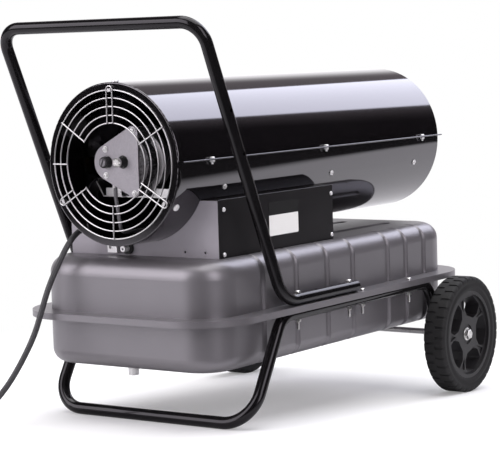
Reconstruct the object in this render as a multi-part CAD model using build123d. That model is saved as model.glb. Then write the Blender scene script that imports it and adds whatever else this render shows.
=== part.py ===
from build123d import *
import math
import os

# A two-wheeled forced air heater: a horizontal barrel with a fan, a vane pump and a burner in it,
# on a sheet base box, a pressed fuel tank and a bent tube frame. Millimetres. It is drawn level,
# with x = 0 at the fan-end lip, +X to the warm outlet, +Y away from the sticker side and z = 0 at
# the wheel underside, and then tips until the front bar stands on the floor with the wheels.

# Stance
tilt = 2.94
wheel_radius = 100.0
axle_station = 654.7

# Tube frame
tube_radius = 9.5
tube_wall = 1.5
tube_offset = 190.0
seat_gap = 0.1
leg_drop = 91.9
leg_reach = 42.7
leg_tail = 12.0
frame_corner = 161.5
bar_station = 70.0
frame_bend = 38.0
bar_bend = 52.0
handle_end = 378.2
handle_corner = 166.7
handle_top = 642.1
handle_reach = -26.3
handle_bend = 55.0
grip_bend = 36.0
winder_low = 448.0
winder_pitch = 71.3
winder_hole = 3.25

# Tank
tank_front = 8.0
tank_length = 722.0
tank_half_width = 171.0
tank_corner = 62.0
tank_sheet = 1.5
tank_upper_depth = 85.5
tank_lower_depth = 83.0
tank_top_bend = 28.0
tank_bottom_bend = 22.0
flange_width = 30.5
flange_roll = 7.0
groove_stations = (140.0, 233.0, 323.0, 401.0, 513.0, 573.0, 635.0)
groove_width = 16.0
groove_depth = 4.5
bead_width = 20.0
bead_depth = 2.7
bead_places = (-88.0, 0.0)
bead_ends = (404.0, 646.0)

# Barrel
barrel_gap = 21.0
barrel_radius = 124.0
barrel_length = 778.0
barrel_sheet = 1.2
lip_width = 12.0
lip_bend = 2.0
seam_rise = 4.5
seam_flange = 8.0
seam_start = 41.0
seam_screws = (79.0, barrel_length / 2 + 9, barrel_length - 63)
seam_slot = (15.0, 3.5)
seam_slot_lead = 12.0
side_angle = -19.0
bracket_station = 122.9
clip_station = 12.8
clip_angles = (-30.7, 90.0, 210.7)

# Guard
wire_radius = 1.1
ring_steps = (0.0, 11.9, 24.8, 37.9, 49.6)
guard_stand = 0.15
pair_gap = 10.8
pair_reach = 5.9
wire_tail = 2.5
upper_wire = 146.0

# Pump, on the barrel axis
pump_front = 60.0
pump_disc = 18.0
pump_radius = 51.0
cover_front = 34.0
cover_sheet = 3.0
chamber_bore = 30.0
rotor_radius = 26.0
rotor_shift = 3.5
felt_radius = 40.0
felt_edge = -12.0
cover_screw_places = ((40.6, 21.0), (40.6, -19.0), (-13.8, 50.0), (-13.8, -46.0))
gauge_place = (38.0, 1.0)
regulator_place = (7.2, 1.6)
regulator_reach = 17.5
air_outlet = 33.8
regulator_radius = 7.3
gauge_radius = 8.6
cover_hole = 10.0

# Motor, bracket and fan
motor_radius = 47.5
motor_length = 94.0
motor_wall = 2.5
shaft_radius = 6.0
bearing_radius = 16.0
bearing_width = 10.0
bracket_sheet = 2.0
bracket_drop = 53.0
bracket_half_width = 66.0
fan_station = 180.0
fan_width = 34.0
fan_radius = barrel_radius - 19
fan_hub = 18.0
fan_blades = 5

# Burner and combustion chamber
chamber_front = 262.0
chamber_end = barrel_length - 43
chamber_radius = barrel_radius - 32
chamber_stations = (chamber_front + 165.9, chamber_end - 33.7)
chamber_sheet = 1.5
burner_radius = 37.5
burner_length = 44.0
spreader_radius = 62.0
nozzle_lead = 6.0
nozzle_radius = 10.0
hose_radius = 3.0

# Base box
box_front = 69.0
box_rear = 388.0
box_half_width = barrel_radius + 19.7
box_height = 88.9
box_sheet = 1.5
box_flange = 18.0
switch_place = (140.0, 46.0)
knob_place = (212.0, 46.0)

# Bolts of the frame, and fittings of the tank and the panel
joint_bolts = (207.0, 357.0)
flange_bolts = (398.0, 549.0)
bolt_radius = 2.5
drain_place = (92.0, 46.0)
pickup_offset = -22.0
fitting_place = (29.0, 11.0)

# Wheels
wheel_width = 39.4
wheel_offset = 231.0
hub_radius = 75.0
hub_recess = 9.0
tread_count = 36
tread_gap = 4.3
tread_span = 15.0
tread_depth = 1.7
axle_radius = 5.0
axle_play = 0.06
spacer_radius = 9.0

# Fuel filler and gauge on the tank top
filler_place = (470.0, 104.0)
gauge_top_place = (590.0, 104.0)
filler_radius = 24.0
cap_radius = 29.0

# Mains cord, lying on the floor past the end of its free stretch
cord_radius = 4.5
gland_place = (94.0, 42.5)
gland_radius = 10.0
gland_length = 9.0
cord_lead = 20.0
coil_inner = 45.0
coil_pitch = 9.6
coil_layer = 9.6
coil_turns = 1.75
plug_radius = 19.0
plug_length = 45.0
pin_radius = 2.4
pin_length = 19.0
pin_spacing = 19.0
floor_gap = 0.1

# General clearances
fit = 0.1
run = 0.3

# Heights that stack up from the wheels
frame_run = wheel_radius + leg_drop
tank_seam = frame_run + tube_radius + seat_gap + tank_sheet
tank_top = tank_seam + tank_upper_depth
tank_bottom = tank_seam - tank_lower_depth
flange_top = tank_seam + tank_sheet
handle_run = flange_top + tube_radius + seat_gap
barrel_axis = tank_top + barrel_gap + barrel_radius
box_top = tank_top + box_height
lean = math.radians(tilt)
floor_drop = axle_station * math.sin(lean) + wheel_radius * math.cos(lean) - wheel_radius
bar_height = (floor_drop + tube_radius - bar_station * math.sin(lean)) / math.cos(lean)
lip_radius = barrel_radius - lip_width
ring_plane = -wire_radius - guard_stand
burner_front = chamber_front - 18
nozzle_block = burner_front - nozzle_lead
base = (Align.CENTER, Align.CENTER, Align.MIN)

os.makedirs("parts", exist_ok=True)
nodes = {}


def rod(at, axis, radius, length, bore=0.0):
    shape = Cylinder(radius, length, align=base)
    if bore:
        shape -= Cylinder(bore, length, align=base)
    return Plane(origin=at, z_dir=axis) * shape


def block(low, high):
    size = [b - a for a, b in zip(low, high)]
    middle = [(a + b) / 2 for a, b in zip(low, high)]
    return Pos(*middle) * Box(*size)


def screw(at, axis, head_radius, head_height, shank_radius, shank_length):
    head = Cone(head_radius, head_radius * 0.62, head_height, align=base)
    shank = Cylinder(shank_radius, shank_length, align=(Align.CENTER, Align.CENTER, Align.MAX))
    return Plane(origin=at, z_dir=axis) * (head + shank)


def hexagon(at, axis, across, height, bore=0.0):
    shape = extrude(RegularPolygon(across / 2, 6, major_radius=False), height)
    if bore:
        shape -= Cylinder(bore, height, align=base)
    return Plane(origin=at, z_dir=axis) * shape


def strip(points, thickness, start, end):
    # A bent sheet strip: the (y, z) middle line of its section, run along X from start to end.
    left, right = [], []
    for i, point in enumerate(points):
        here = Vector(*point, 0)
        back = here - Vector(*points[i - 1], 0) if i else None
        ahead = Vector(*points[i + 1], 0) - here if i < len(points) - 1 else None
        one = (back or ahead).normalized()
        two = (ahead or back).normalized()
        normal = Vector(-one.Y - two.Y, one.X + two.X, 0).normalized()
        reach = thickness / 2 / normal.dot(Vector(-one.Y, one.X, 0))
        left.append(here + normal * reach)
        right.append(here - normal * reach)
    outline = make_face(Polyline(*left, *reversed(right), close=True))
    return extrude(Plane(origin=(start, 0, 0), x_dir=(0, 1, 0), z_dir=(1, 0, 0)) * outline, end - start)


def on_axis(x, y=0.0, z=0.0):
    return (x, y, barrel_axis + z)


def clock(angle, radius, x=0.0):
    # A point round the barrel axis; zero is on the sticker side and 90 is up.
    turn = math.radians(angle)
    return on_axis(x, -radius * math.cos(turn), radius * math.sin(turn))


def outward(angle):
    turn = math.radians(angle)
    return (0, -math.cos(turn), math.sin(turn))


def wall_reach(radius, half_width):
    # How far out a flat tab of that half width may stand inside a round wall.
    return math.sqrt(radius**2 - half_width**2) - fit


def tube(points, radii, radius, wall):
    path = FilletPolyline(*points, radius=radii)
    start = Plane(origin=path @ 0, z_dir=path % 0)
    return sweep(start * (Circle(radius) - Circle(radius - wall)), path)


# ---------------------------------------------------------------- barrel


def barrel_shells():
    inner = barrel_radius - barrel_sheet
    outline = Polyline(
        (0, lip_radius),
        (0, barrel_radius),
        (barrel_length, barrel_radius),
        (barrel_length, inner),
        (barrel_sheet, inner),
        (barrel_sheet, lip_radius),
        close=True,
    )
    profile = make_face(outline)
    corners = profile.vertices().sort_by(Axis.X)
    profile = fillet([v for v in corners if v.X < 0.01 and v.Y > inner], lip_bend)
    corners = profile.vertices()
    inside = [v for v in corners if abs(v.X - barrel_sheet) < 0.01 and v.Y > inner - 0.01]
    profile = fillet(inside, lip_bend - barrel_sheet)
    whole = Pos(*on_axis(0)) * revolve(profile, Axis.X)
    seam = barrel_axis + seam_rise
    cut = Plane.XY.offset(seam)
    upper = split(whole, bisect_by=cut, keep=Keep.TOP)
    lower = split(whole, bisect_by=cut, keep=Keep.BOTTOM)
    reach = barrel_radius + seam_flange
    root = inner + 0.3
    holes = []
    for side in (-1, 1):
        low, high = sorted((side * root, side * reach))
        upper += block((0, low, seam), (barrel_length, high, seam + barrel_sheet))
        lower += block((seam_start, low, seam - barrel_sheet), (barrel_length, high, seam))
        for x in seam_screws:
            y = side * (barrel_radius + seam_flange / 2)
            holes.append(Pos(x, y, seam) * Cylinder(2.0 + fit, 8))
            slot = Box(seam_slot[0], seam_slot[1], 8)
            holes.append(Pos(x - seam_slot_lead, y, seam) * slot)
    upper -= holes
    lower -= holes
    for angle in clip_angles:
        hole = rod(clock(angle, inner - 3, clip_station), outward(angle), 2.0 + fit, 8)
        if angle == 90.0:
            upper -= hole
        else:
            lower -= hole
    for side in (side_angle, 180 - side_angle):
        for x in (bracket_station, *chamber_stations):
            lower -= rod(clock(side, inner - 3, x), outward(side), 2.0 + fit, 8)
    floor = on_axis(0, 0, -barrel_radius)[2]
    for x, width, half in ((128.0, 40.0, 28.0), (240.0, 34.0, 28.0)):
        slot = extrude(RectangleRounded(width, 2 * half, 6), 30)
        lower -= Pos(x, 0, floor - 5) * slot
    return upper, lower


def shell_screws():
    seam = barrel_axis + seam_rise
    shapes = []
    for side in (-1, 1):
        y = side * (barrel_radius + seam_flange / 2)
        for x in seam_screws:
            shapes.append(screw((x, y, seam + barrel_sheet), (0, 0, 1), 4.0, 2.6, 2.0, 9.0))
            nut = (x, y, seam - barrel_sheet)
            shapes.append(hexagon(nut, (0, 0, -1), 7.0, 3.2, 2.0 + fit))
    for angle in clip_angles:
        seat = clock(angle, barrel_radius + fit / 2, clip_station)
        shapes.append(screw(seat, outward(angle), 5.5, 3.4, 2.0, 8.0))
    for angle in (side_angle, 180 - side_angle):
        for x in (bracket_station, *chamber_stations):
            seat = clock(angle, barrel_radius + fit / 2, x)
            shapes.append(screw(seat, outward(angle), 4.5, 3.0, 2.0, 8.0))
    return shapes


def arc_wire(radius, sweep_angle):
    return Torus(radius, wire_radius, major_angle=sweep_angle, align=None)


def fan_guard():
    outer = lip_radius + 0.3
    rings = [outer - step for step in ring_steps]
    centre = Plane(origin=on_axis(ring_plane), z_dir=(1, 0, 0), x_dir=(0, -1, 0))
    wires = [centre * Rot(Z=15) * Torus(radius, wire_radius) for radius in rings[:3]]
    for radius in rings[3:]:
        first = clip_angles[2] - 360 + math.degrees((pair_gap / 2 - wire_tail) / radius)
        last = upper_wire + math.degrees(wire_tail / radius)
        wires.append(centre * Rot(Z=-last) * arc_wire(radius, last - first))
    front = ring_plane - 1.6 * wire_radius

    def wire(angle, inner, reach, shift=0.0):
        turn = math.radians(angle)
        aside = Vector(0, math.sin(turn), math.cos(turn)) * shift
        start = Vector(*clock(angle, inner, front)) + aside
        return rod(start, outward(angle), wire_radius, reach - inner)

    for angle, inner in ((30.0, rings[4]), (upper_wire, rings[4]), (-90.0, rings[4]), (180.0, rings[2])):
        wires.append(wire(angle, inner - wire_radius, rings[0] + wire_radius))
    top = rings[0] + pair_reach - pair_gap / 2
    for angle in clip_angles:
        for side in (-1, 1):
            short = angle == clip_angles[2] and side < 0
            inner = rings[2] if short else rings[4]
            wires.append(wire(angle, inner - wire_radius, top, side * pair_gap / 2))
        seat = Plane(origin=clock(angle, top, front), z_dir=(1, 0, 0), x_dir=outward(angle))
        wires.append(seat * Rot(Z=-90) * arc_wire(pair_gap / 2, 180))
    return wires[0].fuse(*wires[1:])


def guard_clips():
    # Each clip lies on the barrel wall, goes through inside the lip and hooks the outer ring.
    sheet = 1.2
    half = 3.5
    outer = wall_reach(barrel_radius - barrel_sheet, half)
    tongue = lip_radius + 0.3 - wire_radius - 0.25
    nose = ring_plane - wire_radius - 0.25
    back = barrel_sheet + 0.2
    outline = Polyline(
        (20, outer),
        (back + 0.8, outer),
        (back, outer - 0.8),
        (back, tongue),
        (nose, tongue),
        (nose, tongue + 3.6),
        (nose - sheet, tongue + 3.6),
        (nose - sheet, tongue - sheet),
        (back + sheet, tongue - sheet),
        (back + sheet, outer - sheet),
        (20, outer - sheet),
        close=True,
    )
    shapes = []
    for angle in clip_angles:
        aside = Vector(*outward(angle)).cross(Vector(1, 0, 0))
        seat = Plane(origin=on_axis(0), x_dir=(1, 0, 0), z_dir=aside * -1)
        clip = extrude(seat * make_face(outline), half, both=True)
        hole = clock(angle, outer - 3, clip_station)
        shapes.append(clip - rod(hole, outward(angle), 2.0 + fit, 6))
    return shapes


# ---------------------------------------------------------------- pump, motor, fan


def cover_outline(inset):
    circles = [
        Pos(35.0, 1.0) * Circle(27.7 - inset),
        Pos(-12.0, 46.5) * Circle(10.0 - inset),
        Pos(-12.0, -42.5) * Circle(10.0 - inset),
    ]
    return make_hull([edge for circle in circles for edge in circle.edges()])


def facing(x):
    # Local (y, z) on a plane across the barrel axis, with the normal toward the outlet.
    return Plane(origin=on_axis(x), x_dir=(0, 1, 0), z_dir=(1, 0, 0))


def pump_body():
    body = rod(on_axis(pump_front), (1, 0, 0), pump_radius, pump_disc)
    back = cover_front + cover_sheet
    boss = extrude(facing(back) * cover_outline(2.5), pump_front - back)
    boss &= block(on_axis(0, felt_edge, -80), on_axis(90, 80, 80))
    body += boss
    for y, z in cover_screw_places:
        body += rod(on_axis(back, y, z), (1, 0, 0), 5.4, pump_front - back + 6)
        body -= rod(on_axis(back, y, z), (1, 0, 0), 2.0 + fit, 13)
    chamber = on_axis(pump_front + 3, 0, rotor_shift)
    body -= rod(chamber, (1, 0, 0), chamber_bore, pump_disc)
    body -= rod(on_axis(back, *regulator_place), (1, 0, 0), regulator_radius + fit, 14)
    body -= rod(on_axis(back, *gauge_place), (1, 0, 0), gauge_radius + fit, 9)
    body += rod(on_axis(back + 10, air_outlet, -22), (0, 0, -1), 4.6, 17)
    return body


def filter_cover():
    plate = extrude(facing(cover_front) * cover_outline(0), cover_sheet)
    for y, z in cover_screw_places:
        plate -= rod(on_axis(cover_front, y, z), (1, 0, 0), 2.0 + fit, cover_sheet)
    plate -= rod(on_axis(cover_front, *gauge_place), (1, 0, 0), cover_hole, cover_sheet)
    plate -= rod(on_axis(cover_front, *regulator_place), (1, 0, 0), cover_hole, cover_sheet)
    return plate


def felt_filter():
    back = cover_front + cover_sheet
    pad = rod(on_axis(back), (1, 0, 0), felt_radius, pump_front - back)
    pad &= block(on_axis(0, -80, -80), on_axis(90, felt_edge - fit, 80))
    for y, z in cover_screw_places[2:]:
        pad -= rod(on_axis(back, y, z), (1, 0, 0), 5.4 + run, pump_front - back)
    return pad


def pump_screws():
    # Pan heads, each on its own washer.
    shapes = []
    for y, z in cover_screw_places:
        seat = on_axis(cover_front - 1, y, z)
        shapes.append(screw(seat, (-1, 0, 0), 3.7, 2.8, 2.0, 13.0) + rod(seat, (1, 0, 0), 4.9, 1.0))
    return shapes


def gauge_plug():
    start = cover_front - 10
    plug = rod(on_axis(start, *gauge_place), (1, 0, 0), gauge_radius, cover_sheet + 19)
    collar = rod(on_axis(start - 2, *gauge_place), (1, 0, 0), 6.3, 3)
    slot = Pos(*on_axis(start - 2, *gauge_place)) * Box(4, 14, 2)
    return plug + collar - slot


def pressure_screw():
    start = cover_front - regulator_reach
    length = regulator_reach + cover_sheet + 13.7
    plug = rod(on_axis(start, *regulator_place), (1, 0, 0), regulator_radius, length)
    slot = Pos(*on_axis(start, *regulator_place)) * Box(5, 2, 16)
    return chamfer(plug.edges().sort_by(Axis.X)[0], 0.8) - slot


def motor_housing():
    start = pump_front + pump_disc
    end = start + motor_length
    inner = motor_radius - motor_wall
    shell = rod(on_axis(start), (1, 0, 0), motor_radius, motor_length)
    shell -= rod(on_axis(start + 3), (1, 0, 0), inner, motor_length - 6)
    boss = bearing_radius + 3
    shell += rod(on_axis(start), (1, 0, 0), boss, bearing_width + 4)
    shell += rod(on_axis(end - bearing_width - 4), (1, 0, 0), boss, bearing_width + 4)
    shell -= rod(on_axis(start + 4), (1, 0, 0), bearing_radius + fit, bearing_width)
    shell -= rod(on_axis(end - bearing_width - 4), (1, 0, 0), bearing_radius + fit, bearing_width)
    shell -= rod(on_axis(start), (1, 0, 0), shaft_radius + 1, motor_length)
    for x in (start + 8, end - 22):
        low = bracket_drop - bracket_sheet / 2
        foot = block(on_axis(x, -18, -low), on_axis(x + 14, 18, -motor_radius + 6))
        shell += foot - rod(on_axis(x), (1, 0, 0), motor_radius - 1, 14)
    return shell


def motor_stator():
    start = pump_front + pump_disc + 21
    length = motor_length - 42
    core = rod(on_axis(start), (1, 0, 0), motor_radius - motor_wall - fit, length, 24.0)
    slot = Pos(0, 29, 0) * Box(4.5, 12, length + 1)
    slots = [Plane(origin=on_axis(start + length / 2), z_dir=(1, 0, 0)) * Rot(Z=30 * k) * slot for k in range(12)]
    return core - slots


def motor_bearings():
    start = pump_front + pump_disc
    places = (start + 4, start + motor_length - bearing_width - 4)
    return [
        rod(on_axis(x), (1, 0, 0), bearing_radius, bearing_width, shaft_radius + 0.05)
        for x in places
    ]


def motor_bracket():
    inner = barrel_radius - barrel_sheet
    half = 8.0
    reach = wall_reach(inner, half) - bracket_sheet / 2
    turn = math.radians(side_angle)
    middle = Vector(reach * math.cos(turn), reach * math.sin(turn))
    along = Vector(-math.sin(turn), math.cos(turn))
    top, bottom = middle + along * half, middle - along * half
    rise = -30.0
    base_line = [(80.0, rise), (bracket_half_width, -bracket_drop)]
    mirrored = [(-y, z) for y, z in reversed(base_line)]
    plate = strip(base_line + mirrored, bracket_sheet, pump_front - fit - bracket_sheet, pump_front + 100)
    arm = [(78.0, rise), (top.X, rise), (bottom.X, bottom.Y)]
    shapes = plate
    for side in (1, -1):
        points = [(side * y, z) for y, z in arm]
        shapes += strip(points, bracket_sheet, bracket_station - 15, bracket_station + 15)
        low, high = sorted((side * 31, side * 61))
        front = pump_front - fit
        shapes += block((front - bracket_sheet, low, -bracket_drop), (front, high, -40))
    shapes = Pos(0, 0, barrel_axis) * shapes
    for angle in (side_angle, 180 - side_angle):
        shapes -= rod(clock(angle, inner - 12, bracket_station), outward(angle), 2.0 + fit, 14)
    return shapes


def fan():
    start = fan_station
    middle = start + fan_width / 2
    wheel = rod(on_axis(start), (1, 0, 0), fan_hub, fan_width)
    sections = []
    for radius, chord, pitch in ((fan_hub - 4, 30, 58), (58, 48, 42), (fan_radius - 5, 56, 30)):
        seat = Plane(origin=(0, 0, radius), x_dir=(0, 1, 0), z_dir=(0, 0, 1))
        sections.append(seat * Rot(Z=pitch) * Rectangle(chord, 1.6))
    blade = loft(sections, ruled=True)
    for k in range(fan_blades):
        wheel += Pos(*on_axis(middle)) * Rot(X=360 / fan_blades * k) * blade
    wheel -= rod(on_axis(start), (1, 0, 0), shaft_radius + 0.05, fan_width)
    return wheel


def motor_shaft():
    start = pump_front + 3 + run
    shaft = rod(on_axis(start), (1, 0, 0), shaft_radius, fan_station + fan_width + 6 - start)
    core = pump_front + pump_disc + 21
    return shaft + rod(on_axis(core), (1, 0, 0), 24.0 - run, motor_length - 42)


def pump_rotor():
    length = pump_disc - 3 - 2 * run
    start = pump_front + 3 + run
    rotor = rod(on_axis(start), (1, 0, 0), rotor_radius, length, shaft_radius + 0.05)
    slot = Pos(0, rotor_radius - 5, 0) * Box(4.0, 12, length + 1)
    seat = Plane(origin=on_axis(start + length / 2), z_dir=(1, 0, 0))
    return rotor - [seat * Rot(Z=90 * k) * slot for k in range(4)]


def pump_vanes():
    length = pump_disc - 3 - 2 * run
    seat = Plane(origin=on_axis(pump_front + 3 + run + length / 2), z_dir=(1, 0, 0))
    vane = Pos(0, rotor_radius - 5.5, 0) * Box(3.8, 10.6, length)
    return [seat * Rot(Z=90 * k) * vane for k in range(4)]


# ---------------------------------------------------------------- burner


def combustion_chamber():
    length = chamber_end - chamber_front
    outer = chamber_radius
    can = rod(on_axis(chamber_front), (1, 0, 0), outer, length)
    can -= rod(on_axis(chamber_front + chamber_sheet), (1, 0, 0), outer - chamber_sheet, length)
    can -= rod(on_axis(chamber_front), (1, 0, 0), burner_radius + fit, chamber_sheet)
    half = 8.0
    reach = wall_reach(barrel_radius - barrel_sheet, half) - 1.0
    line = [(outer + 0.5, 4.0), (outer + 0.5, -half), (reach, -half), (reach, half)]
    for angle in (side_angle, 180 - side_angle):
        for x in chamber_stations:
            arm = strip(line, 1.6, x - 9, x + 9)
            can += Pos(*on_axis(0)) * Rot(X=180 - angle) * arm
            can -= rod(clock(angle, outer + 20, x), outward(angle), 2.0 + fit, 14)
    return can


def flame_spreader():
    start = chamber_end - 15
    reach = chamber_radius - chamber_sheet
    disc = rod(on_axis(start), (1, 0, 0), spreader_radius, chamber_sheet)
    dish = Plane(origin=on_axis(start), z_dir=(-1, 0, 0)) * Cone(spreader_radius - 20, 18, 14, align=base)
    disc += dish
    half = 6.0
    for angle in (90, 210, 330):
        tab = block((start, -half, spreader_radius - 4), (start + chamber_sheet, half, wall_reach(reach, half)))
        tab += block(
            (start - 14, -half, wall_reach(reach, half) - chamber_sheet),
            (start + chamber_sheet, half, wall_reach(reach, half)),
        )
        disc += Pos(*on_axis(0)) * Rot(X=angle - 90) * tab
    return disc


def burner_head():
    end = chamber_front
    start = burner_front
    cup = rod(on_axis(start), (1, 0, 0), burner_radius, burner_length)
    cup -= rod(on_axis(start + 2), (1, 0, 0), burner_radius - 1.5, burner_length)
    cup += rod(on_axis(end - 1.5), (1, 0, 0), burner_radius + 8, 1.5, burner_radius - 1)
    cup -= rod(on_axis(start), (1, 0, 0), 7.0 + fit, 2)
    for y in (-7, 7):
        cup -= rod(on_axis(start, y, 18), (1, 0, 0), 3.5 + fit, 2)
    cup -= rod(on_axis(start, 22, 0), (1, 0, 0), 6.0 + fit, 2)
    for k in range(8):
        seat = Plane(origin=on_axis(start), z_dir=(1, 0, 0)) * Rot(Z=45 * k + 22.5)
        cup -= seat * (Pos(30, 0, 1) * Cylinder(2.5, 4))
    return cup


def fuel_nozzle():
    # A block for the two hoses, with the nozzle through the burner's rear wall.
    block_end = rod(on_axis(nozzle_block - 5), (1, 0, 0), nozzle_radius, burner_front - nozzle_block + 5)
    flats = Box(20, 2 * nozzle_radius, 12) + Box(20, 12, 2 * nozzle_radius)
    block_end &= Pos(*on_axis(nozzle_block)) * flats
    return block_end + rod(on_axis(burner_front - 1), (1, 0, 0), 7.0, 20)


def ignition_electrodes():
    start = burner_front
    shapes = []
    for y in (-7, 7):
        pin = rod(on_axis(start - 14, y, 18), (1, 0, 0), 1.2, 56)
        shapes.append(pin + rod(on_axis(start - 6, y, 18), (1, 0, 0), 3.5, 30))
    return shapes


def photocell():
    start = burner_front
    eye = rod(on_axis(start - 16, 22, 0), (1, 0, 0), 6.0, 24)
    return eye + rod(on_axis(start - 4, 22, 0), (1, 0, 0), 8.5, 4)


def air_hose():
    # From the pump outlet down through the barrel floor, along the box and up to the nozzle.
    start = cover_front + cover_sheet + 10
    low = -barrel_radius - 9
    inside = 16 - barrel_radius
    points = [
        on_axis(start, air_outlet, -39),
        on_axis(start, air_outlet, -52),
        on_axis(start, air_outlet - 8.8, inside),
        on_axis(125, 16, inside),
        on_axis(138, 14, low),
        on_axis(nozzle_block, 0, low),
        on_axis(nozzle_block, 0, -nozzle_radius),
    ]
    path = FilletPolyline(*points, radius=[20, 9, 9, 9, 9])
    return sweep(Plane(origin=path @ 0, z_dir=path % 0) * Circle(hose_radius), path)


def fuel_hose():
    # From the tank pickup in the box up to the side of the nozzle block.
    y = pickup_offset
    points = [(nozzle_block, y, tank_top + box_sheet + 8), (nozzle_block, y, barrel_axis)]
    points.append((nozzle_block, -nozzle_radius, barrel_axis))
    path = FilletPolyline(*points, radius=8.0)
    return sweep(Plane(origin=path @ 0, z_dir=path % 0) * Circle(2.6), path)


# ---------------------------------------------------------------- base box


def box_opening():
    return rod(on_axis(box_front - 5), (1, 0, 0), barrel_radius + run, box_rear - box_front + 10)


def cover_holes():
    return ((82.0, 73.5), (80.5, 5.5), (383.5, 74.5), (383.0, 7.5))


def base_box():
    width = box_half_width - box_sheet
    top = box_top - box_sheet
    low = (box_front, -width, tank_top)
    tray = block(low, (box_rear, width, tank_top + box_sheet))
    tray += block(low, (box_front + box_sheet, width, top))
    tray += block((box_rear - box_sheet, -width, tank_top), (box_rear, width, top))
    for side in (-1, 1):
        near, far = sorted((side * (width - box_sheet), side * width))
        tray += block((box_front, near, tank_top), (box_front + box_flange, far, top))
        tray += block((box_rear - box_flange, near, tank_top), (box_rear, far, top))
        for x, z in cover_holes():
            tray -= rod((x, side * (width - 5), tank_top + z), (0, side, 0), 2.0 + fit, 10)
    tray -= box_opening()
    y, z = gland_place
    tray -= rod((box_front - 1, y, tank_top + z), (1, 0, 0), gland_radius - 3, 5)
    for hole in (79.0, 117.0):
        tray -= rod((box_front - 1, -hole, tank_top + 8.5), (1, 0, 0), 2.0, 5)
    y, z = fitting_place
    tray -= rod((box_front - 1, y, tank_top + z), (1, 0, 0), 7.5, 5)
    tray -= rod((nozzle_block, pickup_offset, tank_top - 1), (0, 0, 1), 9.0, 5)
    return tray


def box_cover(side):
    near, far = sorted((side * (box_half_width - box_sheet), side * box_half_width))
    plate = block((box_front, near, tank_top), (box_rear, far, box_top))
    rise = box_top - barrel_axis
    edge = math.sqrt((barrel_radius + run) ** 2 - min(rise**2, barrel_radius**2 * 0.8))
    near, far = sorted((side * edge, side * box_half_width))
    plate += block((box_front, near, box_top - box_sheet), (box_rear, far, box_top))
    outer = plate.edges().filter_by(Axis.X).sort_by(Axis.Z)[-2:]
    plate = fillet(outer.sort_by(lambda e: abs(e.center().Y))[-1], 1.2)
    for x, z in cover_holes():
        plate -= rod((x, side * (box_half_width - 5), tank_top + z), (0, side, 0), 2.0 + fit, 10)
    return plate


def control_panel():
    plate = box_cover(1)
    x, z = switch_place
    plate -= Pos(x, box_half_width, tank_top + z) * Box(28.4, 10, 23.4)
    x, z = knob_place
    plate -= rod((x, box_half_width - 5, tank_top + z), (0, 1, 0), 5.0 + fit, 10)
    return plate


def cover_screws():
    shapes = []
    for side in (-1, 1):
        for x, z in cover_holes():
            seat = (x, side * box_half_width, tank_top + z)
            shapes.append(screw(seat, (0, side, 0), 3.5, 2.4, 2.0, 6.0))
    return shapes


def switch_frame():
    x, z = switch_place
    middle = (x, box_half_width, tank_top + z)
    frame = Pos(*middle) * Pos(0, 1, 0) * Box(32, 2, 27)
    frame += Pos(*middle) * Pos(0, -9, 0) * Box(28, 18, 23)
    frame -= Pos(*middle) * Pos(0, -6, 0) * Box(24, 20, 20.8)
    pin = rod((x - 13.8, box_half_width - 4, tank_top + z), (1, 0, 0), 1.56, 27.6)
    return frame - pin


def power_switch():
    # A rocker on two pivot pins, shown with its off end pressed in.
    x, z = switch_place
    dip = make_face(Polyline((5.4, 11), (5.0, 9.2), (3.2, 0), (5.0, -9.2), (5.4, -11), (14, -11), (14, 11), close=True))
    profile = Circle(10.1) - dip
    seat = Plane(origin=(x - 11.7, box_half_width - 4, tank_top + z), x_dir=(0, 1, 0), z_dir=(1, 0, 0))
    rocker = extrude(seat * Rot(Z=-8) * profile, 23.4)
    return rocker + rod((x - 13.5, box_half_width - 4, tank_top + z), (1, 0, 0), 1.5, 27.0)


def thermostat_body():
    x, z = knob_place
    back = box_half_width - box_sheet
    case = block((x - 15, back - 26, tank_top + z - 15), (x + 15, back, tank_top + z + 15))
    case += rod((x, back, tank_top + z), (0, 1, 0), 5.0, box_sheet)
    return case - rod((x, back - 14, tank_top + z), (0, 1, 0), 3.06, 20)


def thermostat_knob():
    x, z = knob_place
    front = box_half_width + 0.5
    seat = Plane(origin=(x, front, tank_top + z), z_dir=(0, 1, 0))
    knob = seat * Cone(17.0, 15.0, 14, align=base)
    ribs = [seat * Rot(Z=30 * k) * (Pos(17.6, 0, 8) * Cylinder(2.2, 20)) for k in range(12)]
    knob -= ribs
    return knob + rod((x, front - 13, tank_top + z), (0, 1, 0), 3.0, 14)


def ignition_transformer():
    low = tank_top + box_sheet
    near = -box_half_width
    core = block((box_rear - 88, near + 7.7, low), (box_rear - 28, near + 41.7, low + 46))
    return core + block((box_rear - 96, near + 13.7, low), (box_rear - 20, near + 35.7, low + 3))


# ---------------------------------------------------------------- tank


def rounded(inset, corner_extra=0.0):
    length = tank_length - 2 * inset
    width = 2 * (tank_half_width - inset)
    shape = RectangleRounded(length, width, tank_corner - inset + corner_extra)
    return Pos(tank_front + tank_length / 2, 0) * shape


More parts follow.
